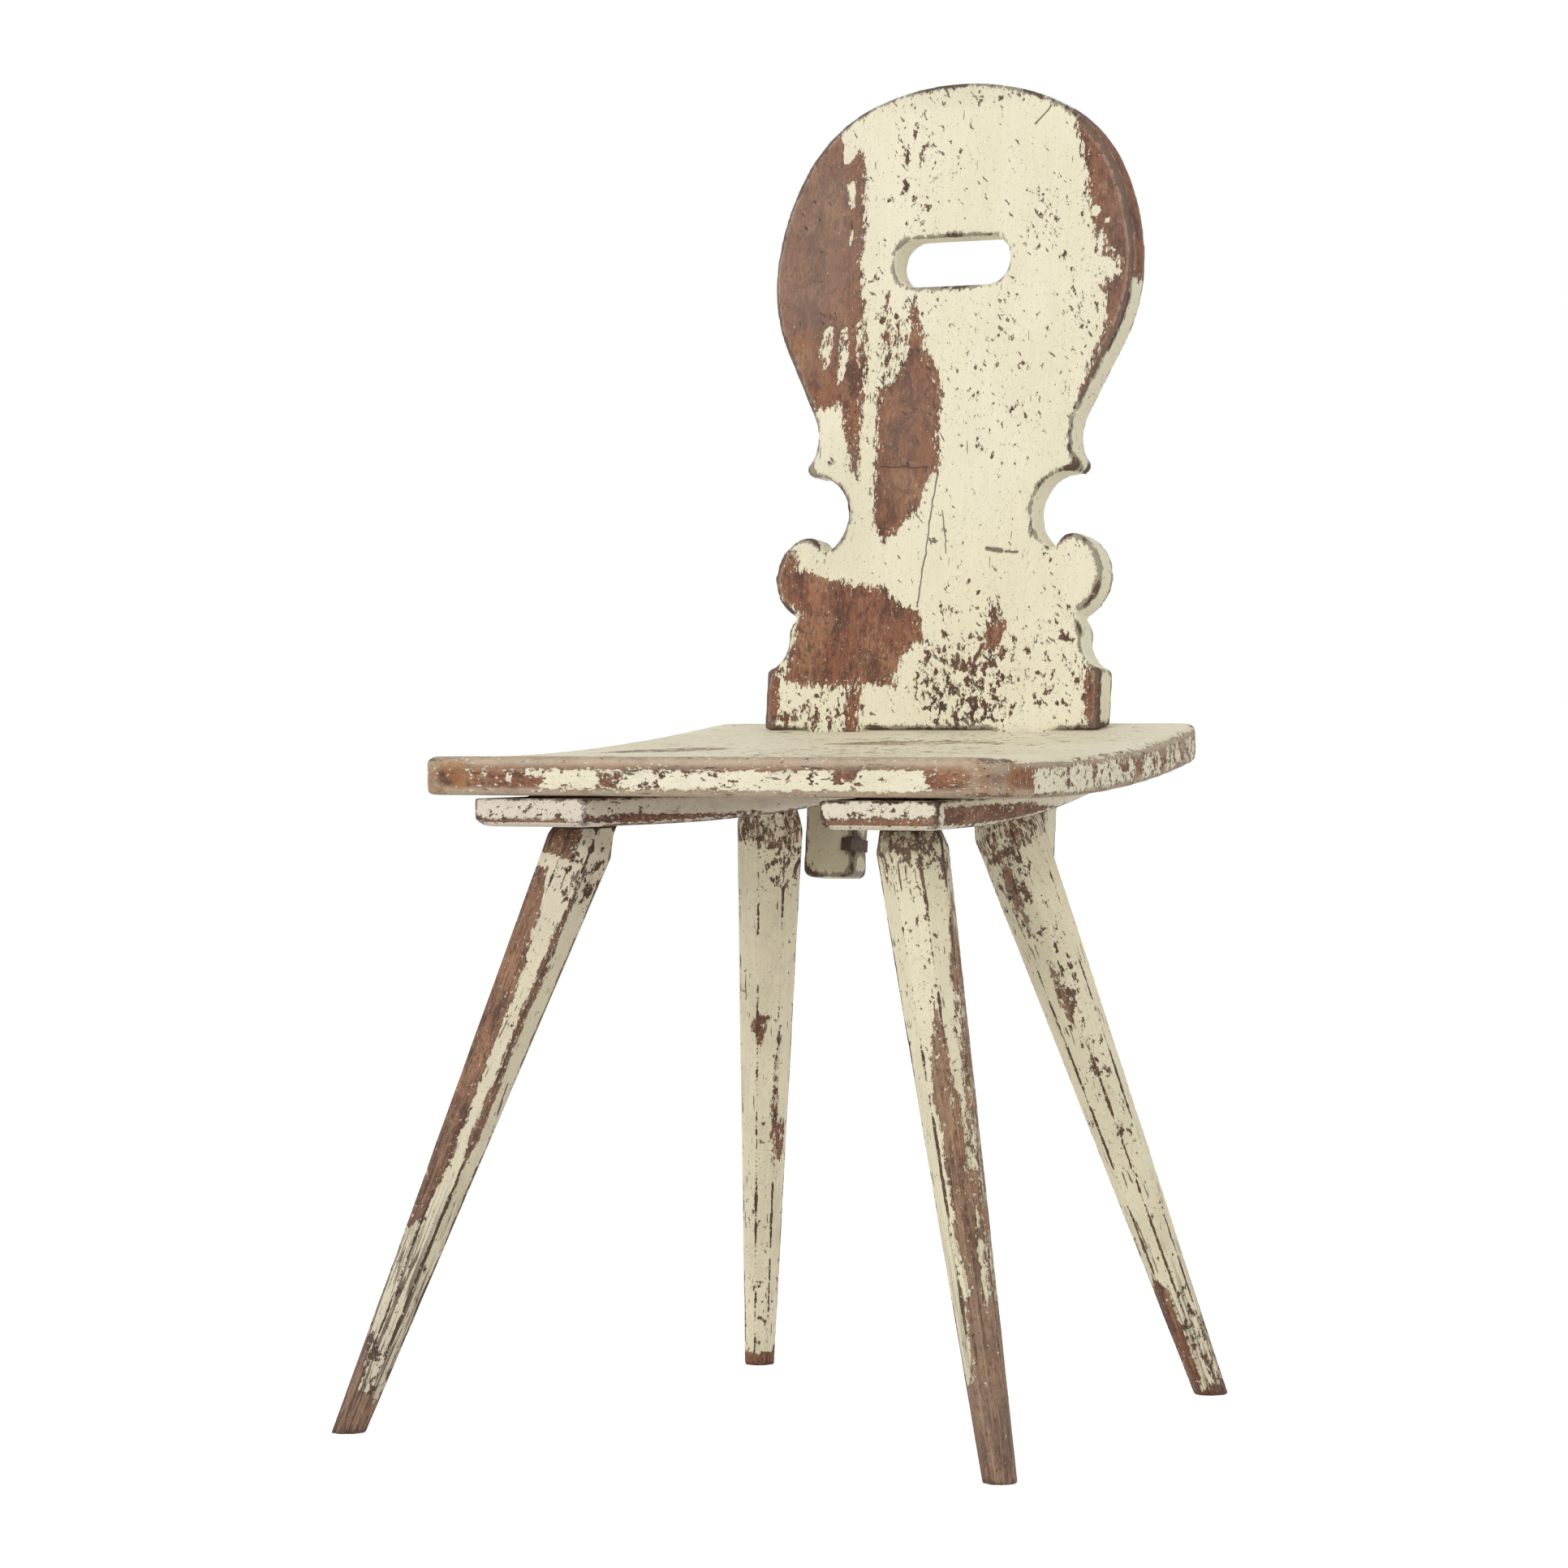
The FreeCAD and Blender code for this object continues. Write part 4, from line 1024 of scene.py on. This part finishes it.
@dataclass
class SeatBoard(PaintedPiece):
    """The dished seat with its bowed sides."""

    node: str = "seat_board"
    top: float = 0.448

    def handling(self) -> Handling:
        """The seat is uneven from use."""
        return Handling(0.0025, 2, 0.0007, 8.7)

    def grain(self) -> GrainFrame:
        """The grain runs across the seat."""
        return GrainFrame(Vector((0.0, 0.0, self.top)), Euler((0.0, QUARTER_TURN, 0.0)))

    def finish(self) -> WornPaint:
        """The seat's paint: greyer than the back's, and rubbed off its arrises."""
        return WornPaint(
            "cream_paint_on_seat",
            cream=(0.85, 0.79, 0.60),
            cream_grey=(0.56, 0.50, 0.39),
            dust=(0.58, 0.48, 0.35),
            aged_and_shaded=(0.48, 0.37, 0.25),
            aged_and_shaded_share=0.85, darkening=0.35, scraped=0.62, fray=0.0034, arris_wear=0.12, chips=0.30,
            dashes=0.5, arris_line=1.10, grime_and_shade=0.30, seed=4.1,
        )

    def wear(self) -> WearMap:
        """The worn places of the top, the underside, the front edge and the sides."""
        front = worn(
            Side.FRONT,
            (5, (-240, 460), (-178, 460), (-176, 418), (-240, 418)),
            (2.6, (-178, 460), (-114, 460), (-122, 424), (-178, 418)),
            (3, (-240, 460), (240, 460), (240, 441.5), (-240, 441.5)),
            (2.4, (-240, 428), (240, 428), (240, 416), (-240, 416)),
            (0.4, (-78, 442), (-66, 442), (-62, 432), (-71, 429)),
            (2, (100, 444), (124, 444), (118, 434), (104, 433)),
            (1.8, (166, 446), (206, 446), (206, 424), (176, 424)),
            (5, (203, 450), (240, 450), (240, 418), (206, 418)),
            (-1.5, (-149, 441), (-141, 441), (-142, 432), (-148, 432)),
            (-2, (-134, 443), (-116, 443), (-122, 434), (-134, 438)),
            (-1, (-224, 442), (-211, 442), (-213, 430), (-224, 430)),
        )
        top = worn(
            Side.TOP,
            (2, (-230, -158), (-60, -155), (60, -158), (230, -156), (230, -180), (-230, -180)),
            (0.6, (-210, -120), (-140, -136), (-70, -112), (-30, -84), (-110, -92), (-186, -76)),
            (0.4, (-176, -20), (-120, -6), (-84, 30), (-110, 40), (-160, 22)),
            (0.8, (40, -146), (120, -134), (196, -128), (176, -104), (100, -112), (66, -122)),
            (0.2, (-40, 66), (10, 58), (96, 74), (60, 88), (-10, 82)),
        )
        under = worn(
            Side.UNDER,
            (1, (-150, -150), (150, -150), (120, 150), (-120, 150)),
            (3, (-240, -156), (240, -156), (240, -180), (-240, -180)),
            (2, (204, -170), (240, -170), (240, 200), (180, 200), (200, 10)),
        )
        right = worn(
            Side.RIGHT,
            (4, (-240, 456), (-112, 456), (-116, 416), (-240, 416)),
            (2.8, (-168, 454), (-83, 452), (0, 454), (100, 461), (200, 473), (200, 461), (100, 451), (0, 444),
             (-83, 442), (-120, 442)),
            (1.4, (-130, 426), (-83, 425.5), (0, 427.5), (100, 434.5), (200, 447), (200, 438), (100, 428),
             (0, 421), (-130, 418)),
            (0.8, (-66, 446), (-60, 446), (-62, 428), (-66, 428)),
            (0.8, (-24, 446), (-18, 446), (-20, 428), (-24, 428)),
            (2, (50, 448), (66, 448), (64, 426), (54, 426)),
            (0.5, (20, 450), (42, 452), (38, 438), (26, 438)),
            (1.2, (96, 456), (114, 457), (112, 434), (104, 434)),
            (0.8, (140, 462), (154, 464), (152, 442), (144, 441)),
        )
        left = worn(
            Side.LEFT,
            (3, (-180, 454), (-83, 452), (0, 454), (100, 461), (200, 473), (200, 462), (100, 452), (0, 445),
             (-83, 443), (-180, 445)),
        )
        return WearMap(
            front + top + under + right + left,
            (
                *ovals(Side.FRONT, (0, 436, 150, 12, 0.55)),
                *ovals(Side.TOP, (-60, -120, 190, 70, 0.62), (20, -20, 130, 90, 0.7)),
                *ovals(Side.TOP, (60, 90, 150, 60, 0.55)),
                *ovals(Side.RIGHT, (0, 436, 200, 14, 0.6), (110, 446, 110, 20, 0.95)),
                *ovals(Side.LEFT, (0, 436, 200, 14, 0.7)),
                *ovals(Side.UNDER, (0, 0, 220, 180, 0.6)),
            ),
            # Dirt along the front's two arrises, the right side's top and over the top; the top is darker
            # again at its rear, next to the back, and the underside is darker all over.
            (
                *ovals(Side.FRONT, (0, 453, 400, 11, 0.9), (0, 420, 400, 6, 0.8)),
                *ovals(Side.RIGHT, (0, 454, 400, 9, 0.8)),
                *ovals(Side.TOP, (0, 0, 400, 400, 0.36), (0, 150, 180, 30, 0.9), (80, -100, 130, 50, 0.5)),
                *ovals(Side.UNDER, (0, 0, 260, 200, 0.9)),
            ),
            (
                *ovals(Side.FRONT, (-196, 436, 22, 20, 1.2), (214, 436, 26, 14, 0.9), (20, 424, 140, 4, 0.8)),
                *ovals(Side.RIGHT, (-140, 434, 34, 14, 1.0)),
            ),
        )

    def charts(self, points: np.ndarray, normals: np.ndarray) -> Charts:
        """The top and the underside by width and depth, and the edges by their length and height."""
        spots = points / MM
        level = np.abs(normals[:, 2]) > FACING
        fore = np.abs(normals[:, 1]) > np.abs(normals[:, 0])
        faces = halves(level, normals[:, 2], spots[:, [0, 1]], Side.UNDER, Side.TOP)
        sides = halves(~level & ~fore, normals[:, 0], spots[:, [1, 2]], Side.LEFT, Side.RIGHT)
        return {**faces, **sides, Side.FRONT: (~level & fore, spots[:, [0, 2]])}


@dataclass
class Batten(PaintedPiece):
    """One of the two battens that carry the legs: its hand is -1 for the left one and 1 for the right one."""

    node: str
    hand: float
    cream: Colour
    toe: float = math.radians(9.2)
    half_gap: float = 0.133
    front_y: float = -0.163
    height: float = 0.4125

    def handling(self) -> Handling:
        """The batten is planed, with waves of its own."""
        return Handling(0.002, 2, 0.0006, 5.0 + self.hand)

    def grain(self) -> GrainFrame:
        """The grain runs along the batten, which closes in towards the rear."""
        turn = Euler((-QUARTER_TURN, 0.0, self.toe * self.hand))
        return GrainFrame(Vector((self.hand * self.half_gap, self.front_y, self.height)), turn)

    def finish(self) -> WornPaint:
        """The batten's greyer paint; on the left one, painted shadow lines stand in the gaps under the seat.
        """
        # Painted shadow lines along the gaps between the seat and the left batten's top.
        gap_shadows = (
            DarkLine((-0.034, -0.0114, -0.001), (0.042, -0.0112, -0.001), 0.0026),
            DarkLine((0.0437, -0.0112, 0.0), (0.0437, -0.0098, 0.080), 0.0018),
            DarkLine((0.0437, -0.0098, 0.080), (0.0437, -0.0122, 0.180), 0.0016),
        )
        return WornPaint(
            "cream_paint_on_" + self.node,
            cream=self.cream,
            cream_grey=(0.50, 0.42, 0.34),
            mellow=self.cream,
            wood=(0.21, 0.086, 0.046),
            fray=0.003, arris_wear=0.18, chips=0.40, grime_and_shade=0.4,
            seed=6.0 + self.hand,
            dark_lines=() if self.hand > 0 else gap_shadows,
        )

    def wear(self) -> WearMap:
        """The worn places: the low arris, and the right batten's outer side."""
        side_top = 418 if self.hand > 0 else 411
        end_low, end_high = (409.5, 412.0) if self.hand > 0 else (410.0, 407.0)
        return WearMap(
            (
                *worn(Side.LEFT, (3, (20, 411), (340, 411), (340, 395), (20, 395))),
                *worn(
                    Side.RIGHT,
                    (4, (4, side_top), (180, side_top - 2), (340, 404), (340, 396), (4, 396)),
                    (-1.2, (12, 405), (70, 404), (66, 397), (14, 397)),
                ),
                *worn(Side.FRONT, (4, (-60, end_low), (60, end_high), (60, 395), (-60, 395))),
                *worn(Side.UNDER, (1, (-40, 30), (40, 30), (40, 300), (-40, 300))),
            ),
            (
                *ovals(Side.FRONT, (0, 410, 50, 14, 0.6)),
                *ovals(Side.LEFT, (120, 412, 200, 14, 0.6)),
                *ovals(Side.UNDER, (0, 150, 60, 200, 0.7)),
            ),
            # Darker over the underside; at the top of the front end, under the seat, painted shade.
            ovals(Side.UNDER, (0, 150, 60, 220, 0.7)) + ovals(Side.FRONT, (0, 412, 80, 24, 0.5)),
            ovals(Side.FRONT, (10, 402, 50, 10, 1.0)),
        )

    def charts(self, points: np.ndarray, normals: np.ndarray) -> Charts:
        """The flat sides by the batten's width and length, the upright ones by length and height."""
        grain = self.grain()
        local = grain.to_local(points) / MM
        height = points[:, 2] / MM
        level = np.abs(normals[:, 2]) > FACING
        end = grain.directions(normals)[:, 2] < -FACING
        across, along = (np.column_stack((local[:, axis], height)) for axis in (0, 2))
        faces = halves(level, normals[:, 2], local[:, [0, 2]], Side.UNDER, Side.TOP)
        sides = halves(~level & ~end, normals[:, 0], along, Side.LEFT, Side.RIGHT)
        return {**faces, **sides, Side.FRONT: (~level & end, across)}


@dataclass
class Leg(PaintedPiece):
    """A splayed, tapered leg with eight flats."""

    node: str
    foot: Point
    neck: Point
    paint: WornPaint
    places: WearMap

    def handling(self) -> Handling:
        """The leg keeps its eight flats."""
        return Handling(0.0012, 1, 0.0008, self.paint.seed, 8.0)

    def grain(self) -> GrainFrame:
        """The grain runs up the leg."""
        axis = Vector(self.neck) - Vector(self.foot)
        return GrainFrame(Vector(self.foot), axis.to_track_quat("Z", "Y").to_euler())

    def finish(self) -> WornPaint:
        """The leg's own paint."""
        return self.paint

    def wear(self) -> WearMap:
        """The leg's own worn places."""
        return self.places

    def charts(self, points: np.ndarray, _normals: np.ndarray) -> Charts:
        """The whole leg, by the way round it from the viewer's side and the height along it."""
        axis = (Vector(self.neck) - Vector(self.foot)).normalized()
        ahead = (TOWARDS_VIEWER - axis * TOWARDS_VIEWER.dot(axis)).normalized()
        beside = axis.cross(ahead)
        beside = beside * (1.0 if beside.dot(VIEWERS_RIGHT) > 0 else -1.0)
        offset = points - np.array(self.foot)
        angle = np.arctan2(offset @ np.array(beside), offset @ np.array(ahead))
        chart = np.column_stack((angle * LEG_RADIUS, offset @ np.array(axis) / MM))
        return {Side.ROUND: (np.ones(len(points), bool), chart)}


def leg_set() -> list[Leg]:
    """The four legs, each with its own paint and wear.

    Returns:
        The legs, from the front left one.
    """
    turn = Side.ROUND
    grey = (0.55, 0.47, 0.34)
    front_left = Leg(
        "leg_front_left",
        (-0.246, -0.216, 0.0),
        (-0.1236, -0.105, 0.403),
        WornPaint(
            "cream_paint_on_front_left_leg",
            cream=(0.74, 0.66, 0.50),
            cream_grey=grey,
            wood=(0.24, 0.120, 0.072),
            darkening=0.75, pale_grain=0.40, fray=0.0028, arris_wear=0.16, chips=0.36, dashes=0.95,
            arris_line=1.06, seed=11.0,
        ),
        WearMap(
            (
                *worn(
                    turn,
                    (6, (-36, 390), (-12, 400), (-6.5, 372), (-4.0, 318), (-3.2, 240), (-3.6, 190), (-8, 148),
                     (-14, 150), (-17, 178), (-36, 190)),
                ),
                *facets(
                    (-110, -44, 140, 178, 2.0), (-100, -50, 100, 142, -1.2), (17, 30, 188, 394, 1.1),
                    (13, 34, 205, 258, 1.6), (15, 31, 290, 330, 1.3), (-181, -4, 408, 470, 3.0),
                ),
                *worn(turn, (8, (-57, -20), (57, -20), (57, 24), (12, 28), (-8, 42), (-22, 72), (-57, 66))),
                *facets((-30, 181, 28, 54, -0.9), (-34, -29, 40, 150, -0.9), (130, 181, 60, 320, 4.0)),
            ),
            ovals(turn, (0, 90, 70, 60, 0.4), (0, 48, 70, 26, 0.9), (10, 404, 30, 24, 0.8)),
            ovals(turn, (0, 60, 80, 60, 0.7)),
            weathered=ovals(turn, (0, 50, 110, 110, 1.0)),
        ),
    )
    rear_left = Leg(
        "leg_rear_left",
        (-0.1825, 0.216, 0.0),
        (-0.0928, 0.085, 0.403),
        WornPaint(
            "cream_paint_on_rear_left_leg",
            # A lighter cream than the front legs': painted light that offsets the seat's shade on this leg.
            cream=(0.94, 0.85, 0.63),
            cream_grey=grey,
            pale_grain=0.30, fray=0.004, arris_wear=0.10, chips=0.28, dashes=0.40, arris_line=1.12,
            seed=12.0,
        ),
        WearMap(
            facets(
                (-181, 181, -20, 15, 8.0), (19, 35, 178, 276, 1.1), (26, 64, 174, 204, 1.6),
                (-36, -27, 126, 226, -0.6), (13, 25, 20, 82, -0.2), (-30, 4, 274, 288, 5.0),
                (-20, -4, 266, 278, 4.0), (120, 181, 80, 300, 3.0), (-181, 181, 420, 470, 0.1),
            ),
            ovals(turn, (6, 90, 40, 90, 0.4), (10, 404, 20, 26, 0.95)),
            # Darker at the top, under the seat: dirt and painted shade.
            ovals(turn, (0, 404, 80, 40, 0.15)),
        ),
    )
    front_right = Leg(
        "leg_front_right",
        (0.246, -0.216, 0.0),
        (0.1236, -0.105, 0.403),
        WornPaint(
            "cream_paint_on_front_right_leg",
            cream=(0.76, 0.69, 0.50),
            cream_grey=grey,
            wood=(0.27, 0.155, 0.095),
            dust=(0.62, 0.50, 0.38),
            pale_grain=0.62, fray=0.004, arris_wear=0.18, chips=0.44, dashes=0.6, arris_line=1.06,
            seed=13.0,
        ),
        WearMap(
            facets(
                (-26, 14, 130, 300, 5.0), (-6, 28, 40, 250, 4.0), (40, 90, 60, 400, 0.6),
                (-30, 181, -20, 116, 5.0), (-181, 181, -20, 62, 8.0), (150, 181, 100, 300, 3.0),
                (26, 40, 100, 280, -0.8), (-181, 181, 418, 470, 0.3),
            ),
            ovals(turn, (0, 340, 36, 90, 0.4), (6, 408, 36, 20, 1.0)),
            # Dirt near the foot; darker at the top, under the seat: dirt and painted shade.
            ovals(turn, (0, 60, 80, 70, 0.6), (10, 410, 40, 40, 0.7)),
            weathered=ovals(turn, (4, 110, 40, 130, 0.35)),
        ),
    )
    rear_right = Leg(
        "leg_rear_right",
        (0.1825, 0.216, 0.0),
        (0.0928, 0.085, 0.403),
        WornPaint(
            "cream_paint_on_rear_right_leg",
            # A lighter cream than the front legs': painted light that offsets the seat's shade on this leg.
            cream=(0.87, 0.79, 0.57),
            cream_grey=grey,
            pale_grain=0.40, fray=0.004, arris_wear=0.12, chips=0.42, dashes=0.7, arris_line=1.10,
            seed=14.0,
        ),
        WearMap(
            facets(
                (-181, 181, -20, 8, 8.0), (-120, -18, 0, 92, 4.0), (-16, 181, 8, 60, -0.5),
                (-40, -22, 362, 436, 0.2), (-20, -8, 292, 332, 0.15), (4, 13, 250, 392, -0.1),
                (4, 12, 96, 240, -0.8), (120, 181, 60, 330, 3.0), (-181, 181, 416, 470, 0.2),
            ),
            ovals(turn, (4, 290, 12, 130, 0.72), (8, 60, 20, 60, 0.6), (-12, 402, 24, 30, 0.9)),
            # A darker left flat high up, and a darker top under the seat: dirt and painted shade.
            ovals(turn, (-14, 350, 14, 84, 0.75), (0, 402, 60, 24, 0.5)),
            weathered=ovals(turn, (0, 40, 60, 70, 0.6)),
        ),
    )
    return [front_left, rear_left, front_right, rear_right]


@dataclass
class LockingPieces:
    """The wedges that spread the leg tenons and the pegs under the battens, kept as they were packed."""

    wedges: tuple[str, ...] = (
        "leg_wedge_front_left",
        "leg_wedge_front_right",
        "leg_wedge_rear_left",
        "leg_wedge_rear_right",
    )
    pegs: tuple[str, ...] = ("back_tenon_peg_left", "back_tenon_peg_right")
    first_seed: float = 20.0

    def dress(self, shop: Workshop) -> None:
        """Gives each wedge upright grain and each peg grain along its length."""
        for number, name in enumerate(self.wedges + self.pegs):
            low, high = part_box(name)
            lying = 0.0 if name in self.wedges else -QUARTER_TURN
            finish = SplitWood("split_wood_of_" + name, self.first_seed + number)
            material = shop.split(finish, GrainFrame((low + high) / 2.0, Euler((lying, 0.0, 0.0))))
            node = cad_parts[name]
            node.data.materials.clear()
            node.data.materials.append(material)
            log.info("%s: dressed as packed", name)


@dataclass
class Studio:
    """The pale floor, the white surroundings and the soft lamps."""

    ground_size: float = 60.0
    sky: float = 0.62
    floor_glow: float = 0.80
    floor_colour: Colour = (0.82, 0.82, 0.81)
    shadow_colour: Colour = (0.42, 0.42, 0.42)
    aim: Point = (0.0, 0.0, 0.45)

    def surroundings(self) -> None:
        """Makes the world: white to look at, straight, in gloss or through glass, and an even light."""
        world = bpy.data.worlds.new("studio")
        g = blank(world)
        path = g.node("ShaderNodeLightPath").outputs
        shown = g.most(path["Is Camera Ray"], path["Is Glossy Ray"], path["Is Transmission Ray"])
        strength = g.scaled(shown, 1.0 - self.sky, self.sky)
        light = g.node("ShaderNodeBackground", {"Color": WHITE, "Strength": strength})
        g.node("ShaderNodeOutputWorld", {"Surface": light.outputs[0]})
        bpy.context.scene.world = world

    def floor(self) -> None:
        """Lays the floor, which shows the chair's soft shadow."""
        half = self.ground_size / 2.0
        mesh = bpy.data.meshes.new("studio_floor")
        corners = [(-half, -half, 0.0), (half, -half, 0.0), (half, half, 0.0), (-half, half, 0.0)]
        mesh.from_pydata(corners, [], [(0, 1, 2, 3)])
        ground = bpy.data.objects.new("studio_floor", mesh)
        bpy.context.scene.collection.objects.link(ground)
        material = bpy.data.materials.new("pale_floor")
        g = blank(material)
        path = g.node("ShaderNodeLightPath").outputs
        pale = g.node("ShaderNodeBsdfDiffuse", {"Color": self.floor_colour}).outputs[0]
        glow = g.node("ShaderNodeEmission", {"Color": WHITE, "Strength": self.floor_glow}).outputs[0]
        shade = g.node("ShaderNodeBsdfDiffuse", {"Color": self.shadow_colour}).outputs[0]
        lit = g.node("ShaderNodeAddShader", {0: glow, 1: shade}).outputs[0]
        seen = g.most(path["Is Camera Ray"], path["Is Glossy Ray"])
        both = g.node("ShaderNodeMixShader", {0: seen, 1: pale, 2: lit}).outputs[0]
        g.node("ShaderNodeOutputMaterial", {"Surface": both})
        mesh.materials.append(material)

    def lamp(self, name: str, place: Point, size: float, power: float) -> None:
        """Hangs one soft square lamp that points at the chair.

        Args:
            name: The lamp's name.
            place: Where it hangs.
            size: The length of its side, in metres.
            power: Its power, in watts.
        """
        data = bpy.data.lights.new(name, "AREA")
        data.size = size
        data.energy = power
        lamp = bpy.data.objects.new(name, data)
        lamp.location = place
        aim = Vector(self.aim) - Vector(place)
        lamp.rotation_euler = aim.to_track_quat("-Z", "Y").to_euler()
        bpy.context.scene.collection.objects.link(lamp)

    def build(self) -> None:
        """Sets the surroundings, the floor and the lamps, and leaves colours as they are."""
        self.surroundings()
        self.floor()
        self.lamp("front_lamp", (-0.9, -3.3, 2.3), 1.8, 59.0)
        self.lamp("right_lamp", (3.4, -0.6, 1.6), 2.2, 20.0)
        bpy.context.scene.view_settings.view_transform = "Standard"
        log.info("studio: floor and two lamps")


@dataclass
class Viewpoint:
    """The camera, where the photograph was taken from."""

    place: Point = (1.846, -3.216, 0.511)
    pitch: float = math.radians(1.27)
    roll: float = math.radians(-0.45)
    focal: float = 6753.0
    width: float = 1932.0
    sensor: float = 36.0
    reach: float = 200.0

    def build(self) -> None:
        """Sets up the camera."""
        pitch, roll = self.pitch, self.roll
        ahead = Vector((-math.sin(YAW) * math.cos(pitch), math.cos(YAW) * math.cos(pitch), -math.sin(pitch)))
        upright = VIEWERS_RIGHT.cross(ahead)
        right = VIEWERS_RIGHT * math.cos(roll) + upright * math.sin(roll)
        above = upright * math.cos(roll) - VIEWERS_RIGHT * math.sin(roll)
        turn = Matrix((right, above, -ahead)).transposed()
        data = bpy.data.cameras.new("viewpoint")
        data.sensor_width = self.sensor
        data.lens = self.sensor * self.focal / self.width
        data.clip_end = self.reach
        camera = bpy.data.objects.new("viewpoint", data)
        camera.matrix_world = Matrix.Translation(Vector(self.place)) @ turn.to_4x4()
        bpy.context.scene.collection.objects.link(camera)
        bpy.context.scene.camera = camera
        log.info("camera: %.1f mm lens", data.lens)


def main() -> None:
    """Builds the camera, the chair's pieces in order, then the studio."""
    logging.basicConfig(level=logging.INFO, format="%(message)s")
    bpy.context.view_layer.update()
    Viewpoint().build()
    shop = Workshop()
    SeatBoard().build(shop)
    BackBoard().build(shop)
    Batten("batten_left", -1.0, (0.79, 0.70, 0.58)).build(shop)
    Batten("batten_right", 1.0, (0.85, 0.78, 0.61)).build(shop)
    for leg in leg_set():
        leg.build(shop)
    LockingPieces().dress(shop)
    Studio().build()


if __name__ == "__main__":
    main()
